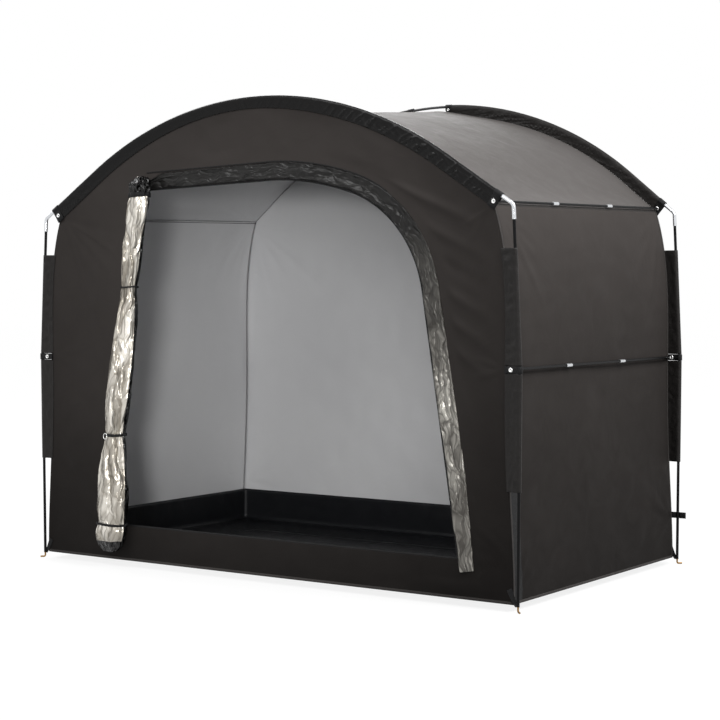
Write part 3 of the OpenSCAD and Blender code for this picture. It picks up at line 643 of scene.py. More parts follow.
def doorTop(x):
    # the opening's top edge falls to the left
    return doorCrown - (door["crownX"] - x) * math.tan(math.radians(door["fall"]))


def doorLeft(z):
    # the opening's left edge leans out towards the ground
    return door["leftX"] - (doorTop(door["leftX"]) - z) * math.tan(math.radians(door["leftLean"]))


def doorCurve(x0, z1, count):
    # the opening's edge from x0 at the top, round the corner and down to z1: points and outward directions
    turn, lean = math.radians(door["topTurn"]), math.radians(door["rightLean"])
    fall = math.radians(door["fall"])
    c1 = np.array([door["crownX"], doorCrown - door["topR"]])
    c2 = c1 + (door["topR"] - door["cornerR"]) * np.array([math.sin(turn), math.cos(turn)])
    last = math.pi / 2 - lean
    xs = np.linspace(x0, door["crownX"], 260)
    line = np.stack([xs, doorTop(xs)], 1)
    a1, a2 = np.linspace(0, turn, 140)[1:], np.linspace(turn, last, 260)[1:]
    d1, d2 = (np.stack([np.sin(a), np.cos(a)], 1) for a in (a1, a2))
    p1, p2 = c1 + door["topR"] * d1, c2 + door["cornerR"] * d2
    zs = np.linspace(p2[-1, 1], z1, 320)[1:]
    p3 = np.stack([p2[-1, 0] + (p2[-1, 1] - zs) * math.tan(lean), zs], 1)
    d0 = np.tile([-math.sin(fall), math.cos(fall)], (len(line), 1))
    d3 = np.tile([math.sin(last), math.cos(last)], (len(p3), 1))
    points, out = np.concatenate([line, p1, p2, p3]), np.concatenate([d0, d1, d2, d3])
    along = runLength(points)
    at = np.linspace(0, along[-1], count)
    return readAt(points, along, at), unit(readAt(out, along, at)), at


def polarRadius(outline, centre, angles):
    # distance from centre to a closed outline along each angle
    d = outline - centre
    a, r = np.arctan2(d[:, 1], d[:, 0]), np.hypot(d[:, 0], d[:, 1])
    order = np.argsort(a)
    a, r = a[order], r[order]
    a = np.concatenate([a - 2 * np.pi, a, a + 2 * np.pi])
    return np.interp(angles, a, np.tile(r, 3))


def dense(points, step=0.002):
    # the same closed outline with points every few millimetres
    points = np.concatenate([points, points[:1]])
    along = runLength(points)
    return readAt(points, along, np.linspace(0, along[-1], int(along[-1] / step))[:-1])


def clothHeight(x, z, look, ridges, calm, hollow=0.0, seed=0):
    # fans of creases from the corners, single ridges, and waves: each of waves is (size, seed, length)
    rows = ridges + [row for pull in look["pulls"] for row in fan(*pull[:-1], seed + pull[-1])]
    height = creases(x, z, rows) + hollow
    for size, number, long in look["waves"]:
        height = height + size * waves(x, z, seed + number, long)
    return height * calm


def calmEdges(v, share):
    # 0 at both ends of v, from 0 to 1, and 1 further in than share
    return smooth(v / share) * smooth((1 - v) / share)


frontWall = {"centre": (0.05, 0.78), "round": 640, "steps": 46, "quiet": 0.078, "rim": 0.004,
             "ridges": (0.0070, 0.0056, -0.0040, 0.0070, 0.0058, 0.0042),  # heights, down the right part
             "folds": [(-0.70, 1.28, -0.79, 0.35, 0.03, 0.003), (-0.82, 1.20, -0.90, 0.25, 0.035, -0.003)],
             "pulls": [  # x, z, middle angle, spread, count, length, width, height, seed
                 (0.90, 1.245, 225, 22, 5, 0.16, 0.009, 0.0022, 3),
                 (-0.90, 1.245, -45, 30, 9, 0.36, 0.011, 0.0028, 4),
                 (0.985, 0.16, 170, 40, 8, 0.20, 0.008, 0.003, 5),
                 (0.96, 0.745, 180, 30, 5, 0.16, 0.008, 0.0016, 6),
                 (-0.96, 0.745, 0, 30, 5, 0.16, 0.008, 0.0016, 7)],
             "waves": [(0.0035, 11, 0.55), (0.0009, 12, 0.11)]}


def makeFrontWall(look):
    # rays from a point in the doorway run from the door's edge to the wall's edge
    centre, rim = np.array(look["centre"]), look["rim"]
    zs = np.linspace(tent["hemZ"], frontShoulder, 400)
    right = stacked(np.polyval(frontEdge, zs), zs)
    left = right[::-1] * (-1, 1)
    outline = dense(np.concatenate([right, np.stack(seam(front, np.linspace(1, -1, 900)), 1), left]))
    top, out, _ = doorCurve(door["leftX"] - rim, tent["sillZ"] - rim, 900)
    top = top + out * rim
    foot = [(doorLeft(tent["sillZ"]) - rim, tent["sillZ"] - rim)]
    hole = dense(np.concatenate([top, foot, [(door["leftX"] - rim, top[0, 1])]]))
    corners = np.array([right[0], left[-1], right[-1], left[0], top[-1], foot[0], top[0]]) - centre
    angles = np.unique(np.concatenate([np.linspace(-np.pi, np.pi, look["round"])[:-1],
                                       np.arctan2(corners[:, 1], corners[:, 0])]))[:, None]
    inner, outer = polarRadius(hole, centre, angles), polarRadius(outline, centre, angles)
    radius = inner + (outer - inner) * np.linspace(0, 1, look["steps"])
    x, z = centre[0] + radius * np.cos(angles), centre[1] + radius * np.sin(angles)
    calm = smooth((outer - radius) / shell["calm"]) * smooth((radius - inner - look["quiet"]) / 0.04)
    ridges = [(0.40 + 0.032 * k, 1.385 - 0.088 * k, 0.93 + 0.008 * k, 1.165 - 0.098 * k, 0.015, size)
              for k, size in enumerate(look["ridges"])] + look["folds"]
    y = -tent["wallY"] - clothHeight(x, z, look, ridges, calm)
    part = clothPart(stacked(x, y, z), stacked(x, z), shell["thick"], -1, True)
    piece = makePiece("frontWall", [part], [shellCloth, liningCloth],
                      ["front_wall_left", "front_wall_right", "front_wall_header", "front_sill"])


rearWall = {"grid": (150, 125),
            "pulls": [(0.92, 1.26, 225, 32, 10, 0.5, 0.013, 0.003, 21),
                      (-0.92, 1.26, -45, 32, 10, 0.5, 0.013, 0.003, 22),
                      (0.98, 0.18, 160, 40, 7, 0.25, 0.010, 0.003, 23),
                      (-0.98, 0.18, 20, 40, 7, 0.25, 0.010, 0.003, 24),
                      (-0.045, 1.655, 270, 60, 9, 0.30, 0.012, 0.0022, 25)],
            "waves": [(0.0035, 26, 0.6), (0.0008, 27, 0.12)]}


def makeRearWall(look):
    # a patch between four edges: the hem, the two corner curves and the arch
    u, v = np.linspace(-1, 1, look["grid"][0])[:, None], np.linspace(0, 1, look["grid"][1])[None]
    seamX, top = seam(rear, u)
    sideZ = tent["hemZ"] + (rearShoulder - tent["hemZ"]) * v
    z = sideZ + v * (top - rearShoulder)
    x = u * np.polyval(rearEdge, sideZ) + v * (seamX - u * np.polyval(rearEdge, rearShoulder))
    calm = smooth((1 - np.abs(u)) / shell["calm"]) * calmEdges(v, shell["calm"])
    y = tent["wallY"] + clothHeight(x, z, look, [], calm)
    part = clothPart(stacked(x, y, z), stacked(x, z), shell["thick"], -1)
    piece = makePiece("rearWall", [part], [shellCloth, liningCloth], ["rear_wall"])


sideWall = {"grid": (105, 110), "hollow": (0.004, 0.70, 0.12), "blackPatchY": 0.532,
            "pulls": [(-0.56, 1.24, -50, 30, 8, 0.40, 0.012, 0.0026, 0),
                      (0.56, 1.26, 230, 30, 8, 0.40, 0.012, 0.0026, 1),
                      (-0.57, 0.03, 55, 30, 6, 0.30, 0.012, 0.0024, 2),
                      (0.57, 0.17, 180, 40, 7, 0.22, 0.010, 0.0028, 3)],
            "waves": [(0.0028, 4, 0.6), (0.0006, 5, 0.1)]}


def makeSideWall(look, name, side, node, seed):
    # straight from the front corner's curve to the rear one, with soft pulls from the four corners
    share, v = np.linspace(0, 1, look["grid"][0])[:, None], np.linspace(0, 1, look["grid"][1])[None]
    top = (frontShoulder * (1 - share) + rearShoulder * share) - 0.001
    z = tent["hemZ"] + (top - tent["hemZ"]) * v
    x = np.polyval(frontEdge, z) * (1 - share) + np.polyval(rearEdge, z) * share
    y = (2 * share - 1) * tent["wallInY"] + 0 * z
    calm = smooth((tent["wallInY"] - np.abs(y)) / shell["calm"]) * calmEdges(v, shell["calm"])
    deep, middle, spread = look["hollow"]  # the waist strut presses the cloth in
    hollow = -deep * np.exp(-((z - middle) / spread) ** 2)
    height = clothHeight(y, z, look, [], calm, hollow, seed)
    part = clothPart(stacked(side * (x + height), y, z), stacked(y, z), shell["thick"], side)
    # the side wall beside its front corner, below the leg sleeve, takes the black webbing, so it reads
    # darker there
    blackPatch = (y[:-1, :-1] < -look["blackPatchY"]) & (z[:-1, :-1] < tent["sleeveZ"])
    part[3][:blackPatch.size] = np.where(blackPatch.ravel(), 2, 0)
    piece = makePiece(name, [part], [shellCloth, liningCloth, webbing], [node])


roofPanel = {"grid": (230, 90), "hollow": 0.010, "creases": 26, "seed": 45,
             "pulls": [(1.02, 0.56, 215, 40, 12, 0.55, 0.010, 0.0024, 41),
                       (1.02, -0.56, 140, 38, 10, 0.45, 0.010, 0.0022, 42),
                       (-1.02, 0.56, -35, 40, 12, 0.55, 0.010, 0.0024, 43),
                       (-1.02, -0.56, 40, 38, 10, 0.45, 0.010, 0.0022, 44)],
             "waves": [(0.0018, 46, 0.5)]}


def makeRoof(look):
    # straight from the front seam to the rear one, pulled in a little between the arches
    s, v = np.linspace(-1, 1, look["grid"][0])[:, None], np.linspace(-1, 1, look["grid"][1])[None]
    (fx, fz), (rx, rz), share = seam(front, s), seam(rear, s), (v + 1) / 2
    grid = stacked(fx * (1 - share) + rx * share, v * tent["wallInY"], fz * (1 - share) + rz * share)
    flat = stacked(s * archEnd(front, tent["clipAt"]), v * tent["wallInY"])
    calm = smooth((1 - np.abs(v)) / 0.06) * smooth((1 - np.abs(s)) / 0.04)
    r, ridges = np.random.default_rng(look["seed"]), []
    for _ in range(look["creases"]):
        cx, cy = r.uniform(-0.9, 0.9), r.uniform(-0.35, 0.45)
        turn, long = r.uniform(-0.7, 0.7), r.uniform(0.1, 0.28)
        dx, dy = math.cos(turn) * long, math.sin(turn) * long
        ridges.append((cx - dx, cy - dy, cx + dx, cy + dy,
                       r.uniform(0.004, 0.009), r.uniform(-0.0012, 0.0014)))
    height = clothHeight(flat[..., 0], flat[..., 1], look, ridges, calm)
    height = height - look["hollow"] * (1 - v ** 2) * smooth((1 - np.abs(s)) / 0.1)
    grid = grid + gridNormals(grid, False) * height[..., None]
    piece = makePiece("roofPanel", [clothPart(grid, flat, shell["thick"], 1)], [roofClothPaintedLight, liningCloth],
                      ["roof"])


makeFrontWall(frontWall)
makeRearWall(rearWall)
makeSideWall(sideWall, "rightWall", 1, "right_wall", 31)
makeSideWall(sideWall, "leftWall", -1, "left_wall", 61)
makeRoof(roofPanel)
print("walls and roof made")

# pole sleeves

sleeve = {"thick": 0.0008, "flat": 0.117, "across": 34, "legAcross": 20, "legStep": 0.0045,
          "waistGap": 0.012,
          "web": 0.046, "tight": 0.010,  # the web's end and start, inwards from the pole's centre
          "outline": [(-0.046, 0.0016), (-0.040, 0.0019), (-0.032, 0.0024), (-0.022, 0.0038),
                      (-0.012, 0.0058), (-0.004, 0.0070), (0.003, 0.0064), (0.0068, 0.0034),
                      (0.0076, 0.0), (0.0068, -0.0034), (0.003, -0.0064), (-0.004, -0.0070),
                      (-0.012, -0.0058), (-0.022, -0.0036), (-0.032, -0.0019), (-0.040, -0.0012),
                      (-0.046, -0.0011)]}
archSleeves = [  # name, arch, node, ends in x (None is near the bend), steps, cloth, pleats
    ("frontArchSleeve", front, "front_arch_sleeve", None, None, 620, sleeveCloth,
     {"seed": 2.0, "pitch": 0.036, "slant": (2.4, -0.7)}),
    ("rearArchSleeveLeft", rear, "rear_arch_sleeve_left", None, -0.130, 330, legCloth,
     {"seed": 5.0, "pitch": 0.050, "slant": (4.2, -4.2)}),
    ("rearArchSleeveRight", rear, "rear_arch_sleeve_right", 0.040, None, 330, legCloth,
     {"seed": 8.0, "pitch": 0.050, "slant": (4.2, -4.2)})]


def sleeveProfile(count, wide):
    # the outline at even steps along its length, its web stretched to the width wide:
    # distance out from the pole, distance outwards of the tent, length along the outline
    p = np.array(sleeve["outline"])
    along = runLength(p)
    at = np.linspace(0, along[-1], count)
    o, out = readAt(p, along, at).T[:, None]
    web, tight = sleeve["web"], sleeve["tight"]
    stretched = np.where(o < -tight, -tight + (o + tight) * (wide - tight) / (web - tight), o)
    return o, stretched, out, at[None]


def pleats(t, o, look):
    # separate pleats: each a narrow crest with a wider hollow beside it, at its own slant, length and size
    r = np.random.default_rng(int(10 * look["seed"]))
    slant, total = look["slant"], np.zeros(np.broadcast(t, o).shape)
    first, last = float(t.min()), float(t.max())
    for k in range(int((last - first) / look["pitch"])):
        at = first + (k + r.uniform(0.1, 0.9)) * look["pitch"]
        lean = slant[0] + (slant[1] - slant[0]) * float(smooth((at + 0.25) / 0.3))
        lean, width, size = lean * r.uniform(0.6, 1.5), r.uniform(0.0028, 0.0060), r.uniform(0.3, 1.0)
        reach, bend = r.uniform(0.036, 0.056), r.uniform(-9, 9)
        off = (t - at + lean * (o + 0.026) + bend * (o + 0.026) ** 2) / width
        fade = smooth((o + 0.050) / 0.006) * smooth((reach - 0.050 - o) / 0.014)
        total += size * fade * (np.exp(-np.abs(off)) - 0.35 * np.exp(-((off - 1.6) / 1.1) ** 2))
    return total


def frontDepth(t):
    # shallow at the crown, deep down the right side and at the left end, metres
    return (0.0014 + 0.0086 * smooth((t - 0.20) / 0.35) + 0.0050 * smooth((-t - 0.65) / 0.3)
            + 0.0014 * np.exp(-((t + 0.28) / 0.10) ** 2))


def rearDepth(t):
    # deepest half-way down each side and again at the shoulders, metres
    return (0.0030 + 0.0090 * np.exp(-((np.abs(t) - 0.36) / 0.24) ** 2)
            + 0.0070 * np.exp(-((np.abs(t) - 0.88) / 0.16) ** 2))


def sleevePart(x, z, out, lift, back, t, flat, side):
    # the sleeve's two faces, lifted outwards of the tent, half as much on the inner one
    y = back * (tent["frameY"] + out + lift * np.where(out >= 0, 1.0, -0.5))
    return clothPart(stacked(x, y, z), stacked(t, flat), sleeve["thick"], side, inner=0)


def makeArchSleeves():
    # pleats and small waves on the web, none over the pole
    for name, e, node, x0, x1, steps, cloth, look in archSleeves:
        t0, t1 = (sign * archEnd(e, tent["sleeveEnd"]) if x is None else alongArch(e, x)
                  for sign, x in ((-1, x0), (1, x1)))
        t = np.linspace(t0, t1, steps)[:, None]
        o, stretched, out, flat = sleeveProfile(sleeve["across"], tent["lap"] - seamOffset(e, t))
        depth = (frontDepth if e is front else rearDepth)(t) * smooth((o + sleeve["web"]) / 0.010)
        lift = depth * (pleats(t, o, look) + 0.12 * waves(0.5 * t, 1.5 * o, look["seed"] + 1, 0.024))
        lift = np.where(o > -0.008, np.maximum(0.5 * lift, -0.0008), lift)  # tight over the pole
        x, z = onArch(e, t, stretched + 0.25 * np.abs(lift))
        part = sleevePart(x, z, out, lift, e["back"], t, flat, -e["back"])
        piece = makePiece(name, [part], [cloth], [node])


def legSleevePart(e, side, z0, z1, seed):
    # as on the arch, but its web is as wide as the space between the wall's corner and the leg
    z = np.linspace(z0, z1, int((z1 - z0) / sleeve["legStep"]))[:, None]
    wide = legX(e, z) - np.polyval(frontEdge if e is front else rearEdge, z) + tent["lap"]
    _, o, out, flat = sleeveProfile(sleeve["legAcross"], wide)
    calm = smooth((z - z0) / 0.02) * smooth((z1 - z) / 0.02)
    lift = 0.0022 * waves(z * 0.6, o * 1.3, seed, 0.026) + 0.0018 * waves(z * 0.35, o, seed + 1, 0.07)
    lift = lift * smooth((o + wide) / 0.010) * smooth(-o / 0.014) * (0.4 + 0.6 * calm)
    x = side * (legX(e, z) + o + 0.2 * np.abs(lift))
    return sleevePart(x, z, out, lift, e["back"], z, flat, e["back"] * side)


def makeLegSleeves():
    # two lengths on each leg, above and below the waist clip
    for end, e in (("front", front), ("rear", rear)):
        for side, hand in ((-1, "left"), (1, "right")):
            node, seed = end + "_" + hand + "_leg", 100 + 3 * side + 7 * e["back"]
            gap, waist, top = sleeve["waistGap"], tent["waistZ"], e["bendZ"] - tent["sleeveDrop"]
            parts = [legSleevePart(e, side, tent["sleeveZ"], waist - gap, seed),
                     legSleevePart(e, side, waist + gap, top, seed + 20)]
            piece = makePiece(end + hand.title() + "LegSleeve", parts, [legCloth],
                              [node + "_sleeve"])


makeArchSleeves()
makeLegSleeves()
print("sleeves made")

# groundsheet

tray = {"halfX": 0.9752, "halfY": 0.5757, "border": 0.150, "thick": 0.002, "hem": 0.0225, "step": 0.015,
        "grid": (100, 50), "rimRows": 22, "rimFlat": 0.28, "lumps": (0.0012, 71, 0.3),
        "ripple": (0.0006, 72, 0.06), "sway": (0.0025, 73, 0.13)}  # each (size, seed, length)


def makeGroundsheet(look):
    # a flat rectangle, and a strip round it that slopes up to the hem and stands up as a rim
    half, thick, hem = np.array([look["halfX"], look["halfY"]]), look["thick"], look["hem"]
    floor = half - look["border"]
    x, y = (np.linspace(-f, f, n) for f, n in zip(floor, look["grid"]))
    x, y = x[:, None], y[None]
    edge = smooth((floor[0] - np.abs(x)) / 0.05) * smooth((floor[1] - np.abs(y)) / 0.05)
    z = thick + look["lumps"][0] * edge * (1 + waves(x, y, *look["lumps"][1:]))
    z = z + look["ripple"][0] * edge * np.abs(waves(x, y, *look["ripple"][1:]))
    flat = stacked(x, y, z)
    parts = [clothPart(flat, flat[..., :2], thick * 0.9, 1, inner=0)]
    loop = dense(np.array([(1, -1), (1, 1), (-1, 1), (-1, -1)]) * half, look["step"])
    spread = loop / half
    low, rise = spread * floor, np.linspace(0, 1, look["rimRows"])
    share = np.clip(rise / 0.5, 0, 1) - 0.004 * smooth((rise - 0.55) / 0.1)
    size, seed, long = look["sway"]
    sway = size * waves(loop[:, 0], loop[:, 1], seed, long)[:, None] * smooth((rise - 0.6) / 0.4)
    xy = low[:, None] + (loop - low)[:, None] * share[None, :, None]
    xy = xy - spread[:, None] * (0.003 + np.abs(sway))[..., None]
    z = np.where(rise < 0.5, thick + (hem - thick) * smooth(rise / 0.5),
                 hem + (tent["sillZ"] - 0.002 - hem) * (rise - 0.5) / 0.5)
    uv = stacked(np.arange(len(loop))[:, None] * look["step"], look["rimFlat"] * rise[None])
    parts.append(clothPart(stacked(xy[..., 0], xy[..., 1], z), uv, thick * 0.7, -1, True, inner=0))
    piece = makePiece("groundsheetTray", parts, [tarpCloth], ["groundsheet"])


makeGroundsheet(tray)
print("groundsheet made")

# door: zip, storm flap, rolled panel and ties

flap = {"startX": -0.492, "endZ": 0.106, "inner": 0.004, "thick": 0.0010, "steps": 700, "across": 28,
        "turnUnder": 0.84,  # share of the width at which the free edge turns under
        "width": ([0, 0.07, 0.9, 1.2, 1.9], [0.026, 0.052, 0.055, 0.060, 0.066, 0.050]),  # last at its end
        "hump": ([0, 0.04, 0.09, 0.14, 0.4, 0.65, 0.78, 0.84, 0.9, 1.0],
                 [0.0012, 0.0030, 0.0032, 0.0018, 0.0040, 0.0052, 0.0058, 0.0046, 0.0022, 0.0014]),
        "folds": [  # seed, count, box along and across, length, width, height, lean
            (81, 34, (0.02, 0.90, 0.004, 0.054), 0.085, 0.0035, 0.0042, (4, 9)),
            (82, 18, (0.86, 1.40, 0.002, 0.056), 0.036, 0.0035, 0.0050, (52, 16)),
            (83, 44, (1.25, None, 0.002, 0.056), 0.050, 0.0035, 0.0046, (8, 24)),
            (84, 26, (1.35, None, 0.0, 0.06), 0.022, 0.0025, 0.0028, (70, 25))],
        "bindingOut": 0.0615, "bindingRows": slice(0, 318, 3)}


def makeFlap(look):
    # a strip sewn down along its outer edge, humped over the zip and turned under at its free edge
    points, out, along = doorCurve(look["startX"], look["endZ"], look["steps"])
    total, turn = along[-1], look["turnUnder"]
    t, across = along[:, None], np.linspace(0, 1, look["across"])[None]
    stops, widths = look["width"]
    wide = np.interp(t, stops + [total], widths)
    o = look["inner"] + np.where(across < turn, wide * (1 - across / turn),
                                 0.010 * smooth((across - turn) / 0.16))
    q, folds = across * 0.07, 0
    for seed, count, box, *rest in look["folds"]:
        folds = folds + crumple(t, q, seed, count, (box[0], box[1] or total) + box[2:], *rest)
    body = smooth(across / 0.10) * smooth((0.88 - across) / 0.08)
    height = np.interp(across, *look["hump"]) + body * (folds + 0.0008 * waves(t, q, 85, 0.05))
    height = np.clip(height, 0.0010, 0.0105)
    down = smooth((t / total - 0.42) / 0.2)
    wobble = (0.0008 + 0.0028 * down) * waves(t, 0 * t, 86, 0.15)
    wobble = wobble + down * 0.6 * folds.mean(1, keepdims=True)
    offset = o + wobble * smooth(across / turn) * (across < 0.99)
    x, z = (points[:, k, None] + out[:, k, None] * offset for k in (0, 1))
    grid = stacked(x, -tent["wallY"] - height, z)
    piece = makePiece("stormFlap", [clothPart(grid, stacked(t, q), look["thick"], -1, inner=0)],
                      [flapCloth], ["door_flap"])
    edge, outward = doorPath(points, out, look["bindingOut"], -tent["wallY"] - 0.0016)
    rows = look["bindingRows"]
    makePiece("stormFlapBinding", [sweepPart(edge[rows], outward[rows], strapSection(0.004, 0.0014))],
              [webbing])


def doorPath(points, out, offset, y):
    # a line beside the opening's edge at y, and the outward direction along it
    x, z = (points + out * offset).T
    return stacked(x, y, z), stacked(out[:, 0], 0.0, out[:, 1])


zipLook = {"tape": 0.011, "thick": 0.0014, "behind": 0.0012, "coilR": 0.0017, "ribs": 0.32, "pitch": 0.0034}


def makeZip(look):
    # tape along the opening's top, right and sill edges, with a coil ribbed once per tooth
    points, out, _ = doorCurve(door["leftX"] + 0.004, tent["sillZ"], 700)
    y, section = -tent["wallY"] + look["behind"], strapSection(look["tape"], look["thick"])
    path, outward = doorPath(points, out, 0.003, y)
    x = np.linspace(points[-1, 0], doorLeft(tent["sillZ"]), 200)
    parts = [sweepPart(path, outward, section),
             sweepPart(stacked(x, y, tent["sillZ"] - 0.003), (0.0, 0.0, 1.0), section)]
    for line in (doorPath(points, out, -0.0005, y)[0], stacked(x, y, tent["sillZ"] - 0.0005)):
        length = runLength(line)
        steps = int(length[-1] / look["pitch"]) * 3
        fine = readAt(line, length, np.linspace(0, length[-1], steps))
        ribbed = look["coilR"] * (1 + look["ribs"] * np.cos(np.arange(steps) * 2 * np.pi / 3))
        parts.append(taperPart(fine, (0.0, 1.0, 0.0), roundSection(1.0, 6), ribbed, 1))
    makePiece("doorZip", parts, [webbing, zipNylon], ["door_zip"])


roll = {"rows": [  # height, middle, half width, half depth
    (0.056, 0.018, 0.030, 0.017), (0.075, 0.020, 0.050, 0.026), (0.100, 0.022, 0.063, 0.031),
    (0.130, 0.025, 0.068, 0.034), (0.160, 0.026, 0.062, 0.032), (0.200, 0.025, 0.066, 0.036),
    (0.320, 0.020, 0.060, 0.036), (0.400, 0.014, 0.052, 0.034), (0.475, 0.008, 0.041, 0.029),
    (0.550, 0.008, 0.050, 0.034), (0.650, 0.010, 0.054, 0.035), (0.790, 0.020, 0.050, 0.034),
    (0.900, 0.022, 0.044, 0.031), (1.000, 0.019, 0.031, 0.025), (1.080, 0.026, 0.039, 0.029),
    (1.210, 0.032, 0.044, 0.031), (1.290, 0.036, 0.048, 0.032), (1.322, 0.035, 0.041, 0.028),
    (1.350, 0.033, 0.046, 0.030), (1.370, 0.033, 0.040, 0.026), (1.384, 0.033, 0.022, 0.015)],
    "turns": 3.3, "innermost": 0.30, "thick": 0.0010, "heights": 310, "inside": 17, "outside": 82,
    "endAngle": 22, "ties": [0.154, 0.475, 1.000, 1.322], "tieWidths": [0.008, 0.010, 0.006, 0.016],
    "long": (92, 34, (0.08, 1.33, -0.26, 0.02), 0.150, 0.0060, 0.0110, (-10, 20)),  # as the flap's folds
    "fine": (93, 190, (0.08, 1.33, -0.26, 0.02), 0.034, 0.0024, 0.0040, (48, 38)),
    "top": (94, 60, (1.318, 1.40, -0.26, 0.02), 0.022, 0.0024, 0.0090, (65, 50))}


def smoothTable(z, column):
    # cubic through the rows, by slopes between neighbours
    rows = np.array(roll["rows"])
    zs, vs = rows[:, 0], rows[:, column]
    slope = np.gradient(vs, zs)
    k = np.clip(np.searchsorted(zs, z) - 1, 0, len(zs) - 2)
    gap = zs[k + 1] - zs[k]
    t = np.clip((z - zs[k]) / gap, 0, 1)
    return ((2 * t ** 3 - 3 * t ** 2 + 1) * vs[k] + (t ** 3 - 2 * t ** 2 + t) * gap * slope[k]
            + (3 * t ** 2 - 2 * t ** 3) * vs[k + 1] + (t ** 3 - t ** 2) * gap * slope[k + 1])


def rollCentre(z):
    # beside the doorway's left edge, just in front of the wall
    depth = smoothTable(z, 3)
    return doorLeft(z) + smoothTable(z, 1), -tent["wallY"] - 0.0047 - np.maximum(depth, 0.024)


def awayFromTies(z, share, reach):
    # 1, falling to 1 - share within reach of each tie
    free = np.ones_like(z)
    for tie in roll["ties"]:
        free = free * (1 - share * np.exp(-((z - tie) / reach) ** 2))
    return free


def rollRadius(z, angle):
    # loose lengthwise folds between the ties, narrow pleats running into each tie
    near = sum(np.exp(-np.abs(z - tie) / 0.030) for tie in roll["ties"])
    r = np.random.default_rng(91)
    total = 0
    for k in (2, 3, 4, 5, 7):
        a, b, _, d = r.uniform(0, 2 * np.pi, 4)
        size = 0.055 * (0.6 + 0.4 * np.sin(z * r.uniform(5, 12) + d))
        phase = k * angle + a + 1.5 * np.sin(z * r.uniform(4, 9) + b) + z * r.uniform(-7, 7)
        total = total + size * np.sin(phase)
    return (1 + total * awayFromTies(z, 0.85, 0.020)
            + 0.07 * np.cos(angle * 11 + 3 + 4 * np.sin(z * 9)) * near)


def rollCrumple(z, angle, last):
    # creases on the outer turn only, in metres; the top end is the most crushed
    s = (angle - last) * 0.047
    near = sum(np.exp(-np.abs(z - tie) / 0.075) for tie in roll["ties"])
    total = (crumple(z, s, *roll["long"]) + crumple(z, s, *roll["fine"]) * (0.55 + 0.8 * near)
             + crumple(z, s, *roll["top"]))
    return np.clip(total, -0.012, 0.011) * awayFromTies(z, 0.9, 0.010)


def onRoll(z, angle, size, out):
    # a point at an angle round the roll: its ellipse times size and folds, plus out in metres
    cx, cy = rollCentre(z)
    radius = size * rollRadius(z, angle)
    return (cx + (smoothTable(z, 2) * radius + out) * np.cos(angle),
            cy + (smoothTable(z, 3) * radius + out) * np.sin(angle))


def makeRolledDoor(look):
    # the panel wound on itself: an ellipse whose size shrinks turn by turn towards its free edge
    zs, turns = np.linspace(look["rows"][0][0], look["rows"][-1][0], look["heights"]), look["turns"]
    turn = np.concatenate([np.linspace(0, turns - 1.03, look["inside"] + 1)[:-1],
                           np.linspace(turns - 1.03, turns, look["outside"])])[None]
    last = math.radians(look["endAngle"])
    z, angle = zs[:, None], last - (turns - turn) * 2 * np.pi
    size = look["innermost"] + (1 - look["innermost"]) * (turn / turns)
    size = size * (1 + 0.025 * smooth((turn - turns + 0.06) / 0.06))
    dent = rollCrumple(z, angle, last) * smooth((turn - turns + 1.05) / 0.03)
    x, y = onRoll(z, angle, size, dent)
    y = np.minimum(y, -tent["wallY"] - 0.0015 - 0.004 * (1 - size))
    rim = z + 0.004 * waves(angle * 0.02, z * 0, 95, 0.03) * (smooth((0.12 - z) / 0.05)
                                                              - smooth((z - 1.33) / 0.04))
    grid = stacked(x, y, rim)
    flatV = runLength(grid.mean(0))
    part = clothPart(grid, stacked(z, flatV[None]), look["thick"], -1, inner=2)
    rows, columns = grid.shape[0] - 1, grid.shape[1] - 1
    i, j = np.divmod(np.arange(rows * columns), columns)
    black = (zs[i] < 0.092) | (zs[i] > 1.322) | (flatV[j] > flatV[-1] - 0.018)
    part[3][:rows * columns] = np.where(black, 1, 0)
    piece = makePiece("rolledDoor", [part], [foilCloth, capCloth, shellCloth],
                      ["rolled_door"])


def makeTies(look):
    # webbing loops drawn tight round the roll, each with a tail to the wall; a toggle on one of them
    parts, up = [], (0.0, 0.0, 1.0)
    angle = np.linspace(0, 2 * np.pi, 90)[:-1]
    angle = np.concatenate([angle, angle[:2]])
    for k, (height, wide) in enumerate(zip(look["ties"], look["tieWidths"])):
        z = np.full(len(angle), height)
        x, y = onRoll(z, angle, 1.0, 0.0014)
        path = stacked(x, np.minimum(y, -tent["wallY"] - 0.001), z + 0.0015 * np.sin(angle * 2 + k))
        tail = np.linspace(doorLeft(height) - 0.025, float(rollCentre(z)[0][0]), 12)
        parts += [sweepPart(path, up, strapSection(wide, 0.0016)),
                  sweepPart(stacked(tail, -tent["wallY"] - 0.0014, height), up, strapSection(wide, 0.0014))]
    height = np.array([look["ties"][1]])
    (x,), (y,) = rollCentre(height)
    a = np.linspace(0, 2 * np.pi, 30)
    ring = (x - 0.5 * smoothTable(height, 2)[0], y - 0.030, 0.470) + stacked(
        0.008 * np.cos(a), -0.001, 0.010 * np.sin(a))
    parts.append(sweepPart(ring, (0.0, 1.0, 0.0), roundSection(0.0014, 8), 1))
    makePiece("doorTies", parts, [webbing, rivetMetal], ["door_ties"])


makeFlap(flap)
makeZip(zipLook)
makeTies(roll)
makeRolledDoor(roll)
print("door made")

# clips, rivets, straps and tabs

